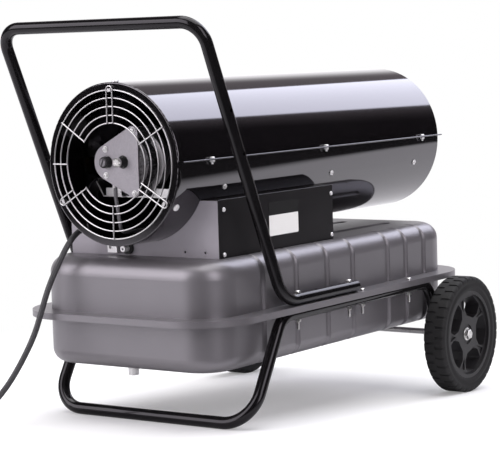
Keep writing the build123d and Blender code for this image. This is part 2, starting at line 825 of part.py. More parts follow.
def tank_form(inset):
    # The outside of the tank, or the hollow in it for an inset of one sheet.
    bottom = tank_bottom + inset
    height = tank_top - tank_bottom - 2 * inset
    form = Pos(0, 0, bottom) * extrude(rounded(inset), height)
    form = fillet(form.faces().sort_by(Axis.Z)[-1].edges(), tank_top_bend - inset)
    form = fillet(form.faces().sort_by(Axis.Z)[0].edges(), tank_bottom_bend - inset)
    bite = (groove_width**2 / 4 + groove_depth**2) / (2 * groove_depth)
    off = bite - groove_depth
    wall = tank_half_width + off
    top = tank_top + off
    foot = tank_bottom - off
    reach = wall - 58.0
    slope = 58.0 * math.tan(math.radians(6))
    path = FilletPolyline(
        (reach, foot - slope),
        (wall, foot),
        (wall, top),
        (reach, top + slope),
        radius=[tank_bottom_bend + off, tank_top_bend + off],
    )
    turned = Plane(origin=(0, 0, 0), x_dir=(0, 1, 0), z_dir=(1, 0, 0)) * path
    start = Plane(origin=turned @ 0, z_dir=turned % 0)
    cutter = sweep(start * Circle(bite + inset), turned)
    cutters = [Pos(x, 0, 0) * cutter for x in groove_stations]
    bend = (bead_width**2 / 4 + bead_depth**2) / (2 * bead_depth)
    start, end = bead_ends
    bar = Pos((start + end) / 2, 0, 0) * Rot(Y=90) * Cylinder(bend + inset, end - start)
    bar += [Pos(x, 0, 0) * Sphere(bend + inset) for x in bead_ends]
    beads = [Pos(0, y, tank_top + bend - bead_depth) * bar for y in bead_places]
    return form - cutters - [mirror(c, about=Plane.XZ) for c in cutters] - beads


def tank_halves():
    outer = tank_form(0.0)
    inner = tank_form(tank_sheet)
    shell = outer - inner
    cut = Plane.XY.offset(tank_seam)
    upper = split(shell, bisect_by=cut, keep=Keep.TOP)
    lower = split(shell, bisect_by=cut, keep=Keep.BOTTOM)
    plate = rounded(-flange_width)
    upper += Pos(0, 0, tank_seam) * extrude(plate, tank_sheet) - inner
    lower += Pos(0, 0, tank_seam - tank_sheet) * extrude(plate, tank_sheet) - inner
    rim = extrude(plate - rounded(-flange_width + tank_sheet), flange_roll + tank_sheet)
    lower += Pos(0, 0, tank_seam - flange_roll - tank_sheet) * rim
    for x in (*joint_bolts, *flange_bolts):
        for side in (-1, 1):
            hole = Pos(x, side * tube_offset, tank_seam) * Cylinder(bolt_radius + fit, 20)
            upper -= hole
            lower -= hole
    x, y = filler_place
    upper -= rod((x, y, tank_top - 10), (0, 0, 1), filler_radius + fit, 20)
    x, y = gauge_top_place
    upper -= rod((x, y, tank_top - 10), (0, 0, 1), 12.0 + fit, 20)
    upper -= rod((nozzle_block, pickup_offset, tank_top - 10), (0, 0, 1), 4.0 + fit, 20)
    x, y = drain_place
    lower -= rod((x, y, tank_bottom - 5), (0, 0, 1), 6.0 + fit, 10)
    return upper, lower


def filler_neck():
    x, y = filler_place
    neck = rod((x, y, tank_top - 8), (0, 0, 1), filler_radius, 22, filler_radius - 3)
    return neck + rod((x, y, tank_top), (0, 0, 1), filler_radius + 6, 1.5, filler_radius - 1)


def fuel_cap():
    x, y = filler_place
    seat = Plane(origin=(x, y, tank_top + 1.5 + run), z_dir=(0, 0, 1))
    cap = Cylinder(cap_radius, 17, align=base)
    cap = fillet(cap.edges().sort_by(Axis.Z)[-1], 2.0)
    notches = [Rot(Z=45 * k) * (Pos(cap_radius + 3.5, 0, 0) * Cylinder(6, 40)) for k in range(8)]
    cap -= notches
    cap -= Cylinder(filler_radius + run, 12.5 + run, align=base)
    return seat * cap


def fuel_gauge():
    x, y = gauge_top_place
    body = rod((x, y, tank_top), (0, 0, 1), 19.0, 3.0)
    body += rod((x, y, tank_top - 8), (0, 0, 1), 12.0, 8.5)
    body += Plane(origin=(x, y, tank_top + 3), z_dir=(0, 0, 1)) * Cone(16.0, 13.5, 9, align=base)
    body += rod((x, y, tank_top - 120), (0, 0, 1), 3.0, 113)
    return body + rod((x, y, tank_top - 100), (0, 0, 1), 11.0, 20)


def fuel_pickup():
    # The suction tube and its strainer, with the outlet stub in the base box.
    x, y = nozzle_block, pickup_offset
    top = tank_top + box_sheet
    tube_down = rod((x, y, tank_bottom + 12), (0, 0, 1), 4.0, top + 4 - tank_bottom - 12)
    collar = rod((x, y, top), (0, 0, 1), 12.0, 3.0)
    stub = rod((x, y, top + 3), (0, 0, 1), 5.0, 5.0)
    strainer = rod((x, y, tank_bottom + 8), (0, 0, 1), 9.0, 22)
    return tube_down + collar + stub + strainer


def drain_plug():
    x, y = drain_place
    plug = hexagon((x, y, tank_bottom), (0, 0, -1), 19.0, 7.0)
    return plug + rod((x, y, tank_bottom - 1), (0, 0, 1), 6.0, 12)


def fuel_grommet():
    y, z = fitting_place
    ring = rod((box_front, y, tank_top + z), (-1, 0, 0), 9.5, 5.0, 5.0 + fit)
    return ring + rod((box_front, y, tank_top + z), (1, 0, 0), 7.5 - fit, box_sheet, 5.0 + fit)


def fuel_fittings():
    # A plugged test stub through its grommet, and a terminal clamp beside it on the panel.
    y, z = fitting_place
    stub = rod((box_front - 16, y, tank_top + z), (1, 0, 0), 5.0, 26)
    stub -= rod((box_front - 16, y, tank_top + z), (1, 0, 0), 2.2, 8)
    stub = chamfer(stub.edges().sort_by(Axis.X)[0:1], 0.6)
    low = (box_front - 9, y + 17, tank_top + 4)
    clamp = block(low, (box_front, y + 35, tank_top + 18))
    clamp = fillet(clamp.edges().filter_by(Axis.X).sort_by(Axis.Z)[-2:], 4.0)
    clamp -= rod((box_front - 9, y + 30, tank_top + 12), (1, 0, 0), 2.6, 5)
    return [stub, clamp]


# ---------------------------------------------------------------- frame, handle, wheels


def along(x0, z0, x1, z1, share):
    return (x0 + (x1 - x0) * share, z0 + (z1 - z0) * share)


def handle_tube():
    side = [(handle_end, handle_run), (handle_corner, handle_run), (handle_reach, handle_top)]
    points = [(x, -tube_offset, z) for x, z in side]
    points += [(x, tube_offset, z) for x, z in reversed(side)]
    shape = tube(points, [handle_bend, grip_bend, grip_bend, handle_bend], tube_radius, tube_wall)
    for x in joint_bolts:
        for side_y in (-1, 1):
            shape -= Pos(x, side_y * tube_offset, handle_run) * Cylinder(bolt_radius + fit, 30)
    for place in winder_points():
        shape -= Pos(*place) * Rot(X=90) * Cylinder(winder_hole, 30)
    return shape


def winder_points():
    rise = handle_top - handle_run
    slope = (handle_reach - handle_corner) / rise
    length = math.hypot(slope, 1)
    low = winder_low
    high = low + winder_pitch / length
    return [(handle_corner + slope * (z - handle_run), -tube_offset, z) for z in (high, low)]


def frame_tube():
    tail = math.hypot(leg_reach, leg_drop)
    end = along(axle_station - leg_reach, frame_run, axle_station, wheel_radius, 1 + leg_tail / tail)
    side = [end, (axle_station - leg_reach, frame_run), (frame_corner, frame_run)]
    side.append((bar_station, bar_height))
    points = [(x, -tube_offset, z) for x, z in side]
    points += [(x, tube_offset, z) for x, z in reversed(side)]
    radii = [frame_bend, frame_bend, bar_bend, bar_bend, frame_bend, frame_bend]
    shape = tube(points, radii, tube_radius, tube_wall)
    for side_y in (-1, 1):
        axle = Pos(axle_station, side_y * tube_offset, wheel_radius) * Rot(X=90)
        shape -= axle * Cylinder(axle_radius + fit, 30)
        for x in (*joint_bolts, *flange_bolts):
            shape -= Pos(x, side_y * tube_offset, frame_run) * Cylinder(bolt_radius + fit, 30)
    return shape


def frame_bolts():
    shapes = []
    tail = frame_run - tube_radius - 16
    for side in (-1, 1):
        y = side * tube_offset
        for x in joint_bolts:
            top = handle_run + tube_radius + seat_gap
            shapes.append(screw((x, y, top), (0, 0, 1), 4.8, 3.9, bolt_radius, top - tail))
        for x in flange_bolts:
            shapes.append(screw((x, y, flange_top), (0, 0, 1), 4.8, 3.9, bolt_radius, flange_top - tail))
    return shapes


def frame_nuts():
    low = frame_run - tube_radius - seat_gap
    return [
        hexagon((x, side * tube_offset, low), (0, 0, -1), 8.0, 4.0, bolt_radius + fit)
        for side in (-1, 1)
        for x in (*joint_bolts, *flange_bolts)
    ]


def wheel_seat(side, y):
    return Plane(origin=(axle_station, side * y, wheel_radius), z_dir=(0, side, 0), x_dir=(1, 0, 0))


def hub_inner():
    return wheel_offset - wheel_width / 2


def wheel_axle():
    reach = wheel_offset + wheel_width / 2 - hub_recess + 3
    return Pos(axle_station, 0, wheel_radius) * Rot(X=90) * Cylinder(axle_radius, 2 * reach)


def axle_spacers():
    inner = tube_offset + tube_radius + fit
    return [
        wheel_seat(side, inner) * (Cylinder(spacer_radius, hub_inner() - run - inner, align=base)
        - Cylinder(axle_radius + fit, 40, align=base))
        for side in (-1, 1)
    ]


def axle_bolts():
    # A washer and a hexagon cap over each axle end, in the hub recess.
    shapes = []
    for side in (-1, 1):
        face = wheel_offset + wheel_width / 2 - hub_recess + run
        cap = Cylinder(11.0, 1.6, align=base) + Pos(0, 0, 1.6) * Cylinder(8.0, 6.4, align=base)
        cap -= Cylinder(axle_radius + fit, 3 - run, align=base)
        shapes.append(wheel_seat(side, face) * cap)
    return shapes


def wheel_window():
    # One opening between two spokes: wide at the rim and narrow at the hub.
    corners = []
    for radius, angle in ((33, -21), (47, -31), (64, -25), (68, 0), (64, 25), (47, 31), (33, 21)):
        turn = math.radians(angle)
        corners.append((radius * math.cos(turn), radius * math.sin(turn)))
    outline = make_face(FilletPolyline(*corners, radius=4.5, close=True))
    return extrude(outline, wheel_width)


def wheel_hub(side):
    inner, outer = -wheel_width / 2 + 2, wheel_width / 2 - 2
    rim = Pos(0, 0, inner) * Cylinder(hub_radius, outer - inner, align=base)
    rim -= Pos(0, 0, outer - 5) * Cylinder(hub_radius - 6, 10, align=base)
    rim -= Pos(0, 0, inner) * Cylinder(hub_radius - 6, 4, align=base)
    boss = Pos(0, 0, -wheel_width / 2) * Cylinder(20.0, wheel_width - 12, align=base)
    rim += boss
    rim -= Pos(0, 0, wheel_width / 2 - hub_recess) * Cylinder(17.0, 20, align=base)
    window = wheel_window()
    for k in range(5):
        rim -= Pos(0, 0, inner) * Rot(Z=72 * k) * window
        wedge = make_face(Polyline((41, 0), (62, 6.5), (62, -6.5), close=True))
        pocket = Pos(0, 0, outer - 7.5) * Rot(Z=36 + 72 * k) * extrude(wedge, 10)
        rim -= pocket
    rim -= Pos(0, 0, -40) * Cylinder(axle_radius + axle_play, 80, align=base)
    return wheel_seat(side, wheel_offset) * rim


def wheel_tyre(side):
    half = wheel_width / 2
    profile = Polyline(
        (hub_radius + fit, -half + 2),
        (hub_radius + 5, -half),
        (wheel_radius - 4, -half),
        (wheel_radius, -half + 4),
        (wheel_radius, half - 4),
        (wheel_radius - 4, half),
        (hub_radius + 5, half),
        (hub_radius + fit, half - 2),
        close=True,
    )
    ring = revolve(Plane.XZ * make_face(profile), Axis.Z)
    notch = Box(2 * tread_depth, tread_gap, tread_span)
    middle = 2.0 + tread_span / 2
    notches = []
    for k in range(tread_count):
        for row, lead in ((-middle, 0.0), (middle, 0.5)):
            turn = 360 / tread_count * (k + lead)
            notches.append(Rot(Z=turn) * Pos(wheel_radius, 0, row) * notch)
    return wheel_seat(side, wheel_offset) * (ring - notches)


# ---------------------------------------------------------------- mains cord


def gland_exit():
    y, z = gland_place
    return (box_front - gland_length, y, tank_top + z)


def cord_gland():
    x, y, z = gland_exit()
    shape = rod((x, y, z), (1, 0, 0), gland_radius - 3, 4)
    seat = Plane(origin=(x + 4, y, z), z_dir=(1, 0, 0))
    shape += seat * Cone(gland_radius - 2, gland_radius, gland_length - 4, align=base)
    return shape + rod((box_front, y, z), (1, 0, 0), gland_radius - 3 - fit, box_sheet + 6)


def standing(shape):
    # Tips the level drawing onto its feet.
    return Pos(0, 0, -floor_drop) * Rot(Y=-tilt) * shape


def stand_point(point):
    placed = standing(Pos(*point))
    return placed.position


# The free stretch, from the gland exit: two offsets and the height above the floor.
cord_points = (
    (-40.0, 1.5, 290.0),
    (-55.5, 4.5, 272.5),
    (-68.0, 10.0, 247.5),
    (-83.0, 18.5, 211.0),
    (-92.0, 27.0, 168.0),
    (-98.0, 35.0, 135.0),
    (-114.0, 49.0, 92.0),
    (-132.0, 62.0, 57.0),
    (-153.0, 74.0, 31.0),
    (-178.0, 87.5, 12.0),
)
cord_lying = ((-204.0, 101.5), (-231.0, 115.8))


def cord_path():
    start = stand_point(gland_exit())
    ahead = Vector(-math.cos(lean), 0, -math.sin(lean))
    points = [start, start + ahead * cord_lead]
    points += [Vector(start.X + x, start.Y + y, z) for x, y, z in cord_points]
    points += [Vector(start.X + x, start.Y + y, cord_radius + floor_gap) for x, y in cord_lying]
    runs = [(b - a).length for a, b in zip(points, points[1:])]
    radii = []
    for i in range(1, len(points) - 1):
        turn = (points[i] - points[i - 1]).get_angle(points[i + 1] - points[i])
        shorter = min(runs[i - 1], runs[i])
        radii.append(0.45 * shorter / math.tan(math.radians(turn / 2)))
    return points, radii


def arc_pair(p0, t0, p1, t1):
    # Two arcs that leave p0 along t0 and reach p1 along t1.
    v, t = p1 - p0, t0 + t1
    spread = 2 * (1 - t0.dot(t1))
    d = (-v.dot(t) + math.sqrt(v.dot(t) ** 2 + spread * v.dot(v))) / spread
    q1, q2 = p0 + t0 * d, p1 - t1 * d
    joint = (q1 + q2) * 0.5
    first = TangentArc(p0, joint, tangent=t0)
    second = TangentArc(joint, p1, tangent=first % 1)
    return [first, second]


def coil_knots(start, heading):
    # The coil goes in and out again at a steady rate, climbing a layer where it turns back,
    # and its last half turn runs wide and up to the height of the plug.
    rate = coil_pitch / (2 * math.pi)
    widest = coil_inner + coil_turns * coil_pitch
    lead = math.atan2(rate, widest)
    aside = Vector(heading.Y, -heading.X, 0)
    radial = (aside * -1) * math.cos(lead) + heading * math.sin(lead) * -1
    centre = start - radial * widest
    ahead = Vector(radial.Y, -radial.X, 0)
    low = cord_radius + floor_gap
    knots = []
    stops = [0.0, 0.5, 1.0, 1.5, coil_turns, 2.0, 2.5, 3.0, 3.5]
    for stop in stops:
        turn = 2 * math.pi * stop
        inward = stop <= coil_turns
        radius = widest - coil_pitch * stop if inward else widest - coil_pitch * (2 * coil_turns - stop)
        drift = -rate if inward else rate
        climb = 0.0
        height = low if inward else low + coil_layer
        if stop == coil_turns:
            drift = 0.0
            height = low + coil_layer / 2
            climb = coil_layer / (0.5 * 2 * math.pi) * math.pi / 2
        if stop == 3.5:
            radius += 26.0
            drift = rate
            height = plug_radius + floor_gap
        out = radial * math.cos(turn) + ahead * math.sin(turn)
        round_ = ahead * math.cos(turn) - radial * math.sin(turn)
        tangent = round_ * radius + out * drift + Vector(0, 0, climb)
        knots.append((centre + out * radius + Vector(0, 0, height - start.Z), tangent.normalized()))
    return knots


def cord_pieces():
    points, radii = cord_path()
    heading = (points[-1] - points[-2]).normalized()
    free = FilletPolyline(*points, radius=radii)
    tube_solid = sweep(Plane(origin=free @ 0, z_dir=free % 0) * Circle(cord_radius), free)
    start = points[-1] + heading * 2 * cord_radius
    knots = coil_knots(start, heading)
    edges = [Line(points[-1], start)]
    for (p0, t0), (p1, t1) in zip(knots, knots[1:]):
        edges += arc_pair(p0, t0, p1, t1)
    last, way = knots[-1]
    way = edges[-1] % 1
    end = last + way * 2 * cord_radius
    edges.append(Line(last, end))
    wound = Wire(edges)
    coil = sweep(Plane(origin=points[-1], z_dir=heading) * Circle(cord_radius), wound)
    return points, radii, free, tube_solid, wound, coil, end, way


def cord_plug(end, way):
    flat = Vector(way.X, way.Y, 0).normalized()
    seat = Plane(origin=end, z_dir=flat, x_dir=(0, 0, 1))
    relief = Cone(cord_radius + 1.5, 9.0, 14, align=base)
    body = Pos(0, 0, 14) * Cylinder(plug_radius, plug_length - 14, align=base)
    body = fillet(body.edges().group_by(Axis.Z)[0], 5.0)
    body += relief
    for side in (-1, 1):
        body += Pos(0, side * pin_spacing / 2, plug_length - 1) * Cylinder(pin_radius, pin_length + 1, align=base)
    return seat * body


def level_nodes():
    upper, lower = barrel_shells()
    nodes["upper_shell"] = upper
    nodes["lower_shell"] = lower
    nodes["shell_screws"] = shell_screws()
    nodes["fan_guard"] = fan_guard()
    nodes["guard_clips"] = guard_clips()
    nodes["pump_body"] = pump_body()
    nodes["filter_cover"] = filter_cover()
    nodes["felt_filter"] = felt_filter()
    nodes["pump_screws"] = pump_screws()
    nodes["gauge_plug"] = gauge_plug()
    nodes["pressure_screw"] = pressure_screw()
    nodes["motor_housing"] = motor_housing()
    nodes["motor_stator"] = motor_stator()
    nodes["motor_bearings"] = motor_bearings()
    nodes["motor_bracket"] = motor_bracket()
    nodes["fan"] = fan()
    nodes["motor_shaft"] = motor_shaft()
    nodes["pump_rotor"] = pump_rotor()
    nodes["pump_vanes"] = pump_vanes()
    nodes["combustion_chamber"] = combustion_chamber()
    nodes["flame_spreader"] = flame_spreader()
    nodes["burner_head"] = burner_head()
    nodes["fuel_nozzle"] = fuel_nozzle()
    nodes["ignition_electrodes"] = ignition_electrodes()
    nodes["photocell"] = photocell()
    nodes["air_hose"] = air_hose()
    nodes["fuel_hose"] = fuel_hose()
    nodes["base_box"] = base_box()
    nodes["side_cover"] = box_cover(-1)
    nodes["control_panel"] = control_panel()
    nodes["cover_screws"] = cover_screws()
    nodes["switch_frame"] = switch_frame()
    nodes["power_switch"] = power_switch()
    nodes["thermostat_body"] = thermostat_body()
    nodes["thermostat_knob"] = thermostat_knob()
    nodes["ignition_transformer"] = ignition_transformer()
    upper, lower = tank_halves()
    nodes["tank_upper"] = upper
    nodes["tank_lower"] = lower
    nodes["filler_neck"] = filler_neck()
    nodes["fuel_cap"] = fuel_cap()
    nodes["fuel_gauge"] = fuel_gauge()
    nodes["fuel_pickup"] = fuel_pickup()
    nodes["drain_plug"] = drain_plug()
    nodes["fuel_grommet"] = fuel_grommet()
    nodes["fuel_fittings"] = fuel_fittings()
    nodes["handle_tube"] = handle_tube()
    nodes["frame_tube"] = frame_tube()
    nodes["frame_bolts"] = frame_bolts()
    nodes["frame_nuts"] = frame_nuts()
    nodes["wheel_axle"] = wheel_axle()
    nodes["axle_spacers"] = axle_spacers()
    nodes["axle_bolts"] = axle_bolts()
    nodes["right_wheel_hub"] = wheel_hub(-1)
    nodes["right_wheel_tyre"] = wheel_tyre(-1)
    nodes["left_wheel_hub"] = wheel_hub(1)
    nodes["left_wheel_tyre"] = wheel_tyre(1)
    nodes["cord_gland"] = cord_gland()


def as_one(shape):
    if isinstance(shape, (list, tuple)):
        return Compound(children=[solid for piece in shape for solid in piece.solids()])
    solids = shape.solids()
    return solids[0] if len(solids) == 1 else Compound(children=list(solids))


level_nodes()
stood = {name: standing(as_one(shape)) for name, shape in nodes.items()}
boxes = [shape.bounding_box() for shape in stood.values()]
middle_x = (min(b.min.X for b in boxes) + max(b.max.X for b in boxes)) / 2
middle_y = (min(b.min.Y for b in boxes) + max(b.max.Y for b in boxes)) / 2
shift = Pos(-middle_x, -middle_y, 0)

points, radii, free, tube_solid, wound, coil, end, way = cord_pieces()
stood["power_cord"] = as_one(tube_solid)
stood["cord_coil"] = as_one(coil)
stood["cord_plug"] = as_one(cord_plug(end, way))

for name, shape in stood.items():
    export_step(shift * shape, f"parts/{name}.step")

if __name__ == "__main__":
    print("origin shift", round(-middle_x, 3), round(-middle_y, 3), "floor", round(floor_drop, 3))
    low = min(b.min.Z for b in boxes)
    high = max(b.max.Z for b in boxes)
    print("height", round(low, 3), round(high, 3))
    print("cord exit", [round(v, 3) for v in shift.position + stand_point(gland_exit())])
    print("cord radii", [round(r, 1) for r in radii])
    area = math.pi * cord_radius**2
    print("cord length", round(free.length + wound.length, 1), "of it free", round(free.length, 1))
    print("volume ratios", tube_solid.volume / area / free.length, coil.volume / area / wound.length)
    steps = 700
    line = [wound @ (k / steps) for k in range(steps + 1)]
    apart = int(steps * 0.12)
    least = min((line[i] - line[j]).length for i in range(0, steps, 2) for j in range(i + apart, steps, 2))
    print("least coil gap", round(least - 2 * cord_radius, 2))
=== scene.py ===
import math

import bmesh
import bpy
from mathutils import Matrix, Vector


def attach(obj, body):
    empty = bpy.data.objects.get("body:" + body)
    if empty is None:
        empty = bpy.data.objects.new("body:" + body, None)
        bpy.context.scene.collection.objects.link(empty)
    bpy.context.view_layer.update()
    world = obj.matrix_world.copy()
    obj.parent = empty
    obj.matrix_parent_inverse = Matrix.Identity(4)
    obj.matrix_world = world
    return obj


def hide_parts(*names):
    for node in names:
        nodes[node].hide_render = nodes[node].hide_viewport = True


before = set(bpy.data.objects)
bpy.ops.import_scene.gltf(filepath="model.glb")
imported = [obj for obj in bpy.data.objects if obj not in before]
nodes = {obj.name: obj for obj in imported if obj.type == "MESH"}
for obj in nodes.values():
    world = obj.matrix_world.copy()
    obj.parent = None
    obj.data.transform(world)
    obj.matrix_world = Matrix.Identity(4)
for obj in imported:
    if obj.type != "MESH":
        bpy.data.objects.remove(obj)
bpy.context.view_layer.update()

# The heater is drawn level and stands nose down on its front bar. Level sizes here are in
# millimetres, with x = 0 at the fan-end lip and z = 0 under the wheels.
stance = {"tilt": 2.94, "shiftX": -346.201, "drop": 33.448}
tilt = math.radians(stance["tilt"])
toMetres = Matrix.Scale(0.001, 4)
stand = (
    Matrix.Translation((stance["shiftX"] / 1000, 0, -stance["drop"] / 1000))
    @ Matrix.Rotation(-tilt, 4, "Y")
    @ toMetres
)

barrel = {"axis": 433.5, "radius": 124.0, "sheet": 1.2, "seamRise": 4.5, "flange": 8.0}
tank = {"top": 288.5, "flangeTop": 204.5}
box = {"front": 69.0, "halfWidth": 143.7}

# In metres, as the camera was fitted to the photograph
view = {
    "from": (-2.6428, -1.8220, 0.4510),
    "at": (-0.2136, -0.1424, 0.3064),
    "lens": 139.13,
    "sensor": 36,
    "shift": (0.0018, 0.0),
    "farthest": 60,
}


def addObject(name, data):
    made = bpy.data.objects.new(name, data)
    bpy.context.scene.collection.objects.link(made)
    return made


def addCamera():
    data = bpy.data.cameras.new("photoCamera")
    data.sensor_width = view["sensor"]
    data.lens = view["lens"]
    data.shift_x, data.shift_y = view["shift"]
    data.clip_end = view["farthest"]
    camera = addObject("photoCamera", data)
    way = Vector(view["at"]) - Vector(view["from"])
    turn = way.to_track_quat("-Z", "Y").to_matrix().to_4x4()
    camera.matrix_world = Matrix.Translation(view["from"]) @ turn
    bpy.context.scene.camera = camera


addCamera()
print("camera stands")


class Wire:
    # one socket; what is worked out with it adds Math nodes
    def __init__(self, board, socket):
        self.board, self.socket = board, socket

    def maths(self, operation, *values):
        return self.board.node("Math", {"operation": operation}, dict(enumerate(values)))

    def __add__(self, other):
        return self.maths("ADD", self, other)

    def __radd__(self, other):
        return self.maths("ADD", other, self)

    def __sub__(self, other):
        return self.maths("SUBTRACT", self, other)

    def __rsub__(self, other):
        return self.maths("SUBTRACT", other, self)

    def __mul__(self, other):
        return self.maths("MULTIPLY", self, other)

    def __rmul__(self, other):
        return self.maths("MULTIPLY", other, self)

    def __truediv__(self, other):
        return self.maths("DIVIDE", self, other)

    def __rtruediv__(self, other):
        return self.maths("DIVIDE", other, self)

    def __gt__(self, other):
        return self.maths("GREATER_THAN", self, other)

    def __lt__(self, other):
        return self.maths("LESS_THAN", self, other)

    def band(self, low, high):
        # 0 below low, 1 above high and smooth between them
        settings = {"interpolation_type": "SMOOTHSTEP"}
        sockets = {"Value": self, "From Min": low, "From Max": high}
        return self.board.node("MapRange", settings, sockets)


class Board:
    # one node tree, of a material or of the world
    def __init__(self, tree):
        self.tree = tree

    def plug(self, socket, value):
        if isinstance(value, Wire):
            self.tree.links.new(value.socket, socket)
        elif socket.type == "RGBA" and len(value) == 3:
            socket.default_value = (*value, 1)
        else:
            socket.default_value = value

    def node(self, kind, settings=None, sockets=None, out=0):
        made = self.tree.nodes.new("ShaderNode" + kind)
        for key, value in (settings or {}).items():
            if key == "stops":
                ramp = made.color_ramp
                while len(ramp.elements) < len(value):
                    ramp.elements.new(0.5)
                for element, (place, colour) in zip(ramp.elements, value):
                    element.position = place
                    element.color = (*colour, 1)
            else:
                setattr(made, key, value)
        for key, value in (sockets or {}).items():
            self.plug(made.inputs[key], value)
        return Wire(self, made.outputs[out]) if made.outputs else None

    def mix(self, share, first, second):
        # the two colours of a Mix node are its sockets 6 and 7, and its colour comes out of 2
        return self.node("Mix", {"data_type": "RGBA"}, {0: share, 6: first, 7: second}, 2)

    def dot(self, one, two):
        return self.node("VectorMath", {"operation": "DOT_PRODUCT"}, {0: one, 1: two}, "Value")


class Finish(Board):
    def __init__(self, name, **values):
        self.material = bpy.data.materials.new(name)
        self.material.use_nodes = True
        super().__init__(self.material.node_tree)
        self.shader = next(n for n in self.tree.nodes if n.type == "BSDF_PRINCIPLED")
        for key, value in values.items():
            self.set(key, value)

    def set(self, name, value):
        # coatWeight names the shader's Coat Weight socket
        words = "".join(" " + c if c.isupper() else c for c in name).title()
        self.plug(self.shader.inputs[words.replace("Ior", "IOR")], value)

    def place(self, stretch=(1, 1, 1)):
        here = self.node("TexCoord", out="Object")
        return self.node("VectorMath", {"operation": "MULTIPLY"}, {0: here, 1: stretch})

    def noise(self, scale, detail=2.0, rough=0.5, stretch=(1, 1, 1)):
        sockets = {"Vector": self.place(stretch), "Scale": scale}
        sockets.update({"Detail": detail, "Roughness": rough})
        return self.node("TexNoise", None, sockets)

    def cells(self, scale):
        sockets = {"Vector": self.place(), "Scale": scale}
        return self.node("TexVoronoi", None, sockets, "Color")

    def axis(self, letter):
        return self.node("SeparateXYZ", None, {0: self.place()}, letter)

    def facing(self, letter):
        # how far the surface faces along that axis of its own piece
        normal = self.node("TexCoord", out="Normal")
        return self.node("SeparateXYZ", None, {0: normal}, letter)

    def bump(self, height, strength, distance):
        sockets = {"Height": height, "Strength": strength, "Distance": distance}
        self.set("normal", self.node("Bump", None, sockets))


# What all paints, all metals and all plastics share. A band is where a noise runs from 0 to 1,
# and a depth is in metres.
spray = {
    "cloud": 14, "cloudBand": (0.35, 0.7), "tint": (0.98, 0.94, 1.0), "depth": 0.0004,
    "dust": (0.32, 0.3, 0.28), "dustGrain": 90, "dustBand": (0.5, 0.75), "upward": (0.55, 1.0),
}
plate = {"lineBand": (0.3, 0.75), "lines": 0.6, "patches": 0.4, "depth": 0.0003}
mould = {"cloud": 25, "cloudBand": (0.3, 0.75), "depth": 0.0003}


def enamel(name, look):
    # Sprayed paint: a fine orange peel, cloudy gloss and a little dust on top
    made = Finish(name, ior=look["ior"], specularTint=spray["tint"])
    cloud = made.noise(spray["cloud"], 3)
    grains = made.noise(spray["dustGrain"], 4, 0.7).band(*spray["dustBand"])
    dust = made.facing("Z").band(*spray["upward"]) * grains
    base = made.mix(cloud.band(*spray["cloudBand"]), look["colour"], look["second"])
    made.set("baseColor", made.mix(dust * look["dust"], base, spray["dust"]))
    made.set("roughness", look["roughness"] + cloud * look["unevenness"] + dust * look["dust"])
    peel = made.noise(look["peelScale"], 2)
    made.bump(peel, look["peel"], spray["depth"])
    return made.material


def metal(name, look):
    # Bare or plated metal with drawn lines or crystal patches
    made = Finish(name, metallic=look.get("metallic", 1.0))
    lines = made.noise(look["grain"], 3, 0.6, look.get("stretch", (1, 1, 1)))
    tone = made.node("RGBToBW", None, {0: made.cells(look["patches"])})
    share = lines.band(*plate["lineBand"]) * plate["lines"] + tone * plate["patches"]
    made.set("baseColor", made.mix(share, look["colour"], look["second"]))
    made.set("roughness", look["roughness"] + lines * look["unevenness"])
    made.bump(lines, look["relief"], plate["depth"])
    return made.material


def moulded(name, look):
    # Plastic, rubber or cable sheath with a fine spark-eroded or matt skin
    made = Finish(name, specularIorLevel=look.get("specular", 0.5))
    skin = made.noise(look["skinScale"], 3, 0.6)
    cloud = made.noise(mould["cloud"], 2).band(*mould["cloudBand"])
    made.set("baseColor", made.mix(cloud, look["colour"], look["second"]))
    made.set("roughness", look["roughness"] + skin * look["unevenness"])
    made.bump(skin, look["relief"], mould["depth"])
    return made.material


paints = {
    "barrelPaint": {
        "colour": (0.0022, 0.0018, 0.0022), "second": (0.003, 0.0025, 0.003), "ior": 1.9,
        "roughness": 0.05, "unevenness": 0.025, "peelScale": 260, "peel": 0.015, "dust": 0.01},
    "tankPaint": {
        "colour": (0.078, 0.073, 0.079), "second": (0.084, 0.079, 0.085), "ior": 2.1,
        "roughness": 0.35, "unevenness": 0.05, "peelScale": 420, "peel": 0.12, "dust": 0.03},
    "framePaint": {
        "colour": (0.004, 0.0036, 0.004), "second": (0.006, 0.0055, 0.006), "ior": 1.36,
        "roughness": 0.1, "unevenness": 0.04, "peelScale": 380, "peel": 0.04, "dust": 0.02},
    "coverPaint": {
        "colour": (0.0055, 0.0046, 0.0054), "second": (0.0075, 0.0065, 0.0074), "ior": 1.34,
        "roughness": 0.28, "unevenness": 0.06, "peelScale": 420, "peel": 0.08, "dust": 0.02},
    "panelPaint": {
        "colour": (0.235, 0.22, 0.243), "second": (0.27, 0.253, 0.278), "ior": 1.5,
        "roughness": 0.33, "unevenness": 0.06, "peelScale": 400, "peel": 0.08, "dust": 0.03},
}

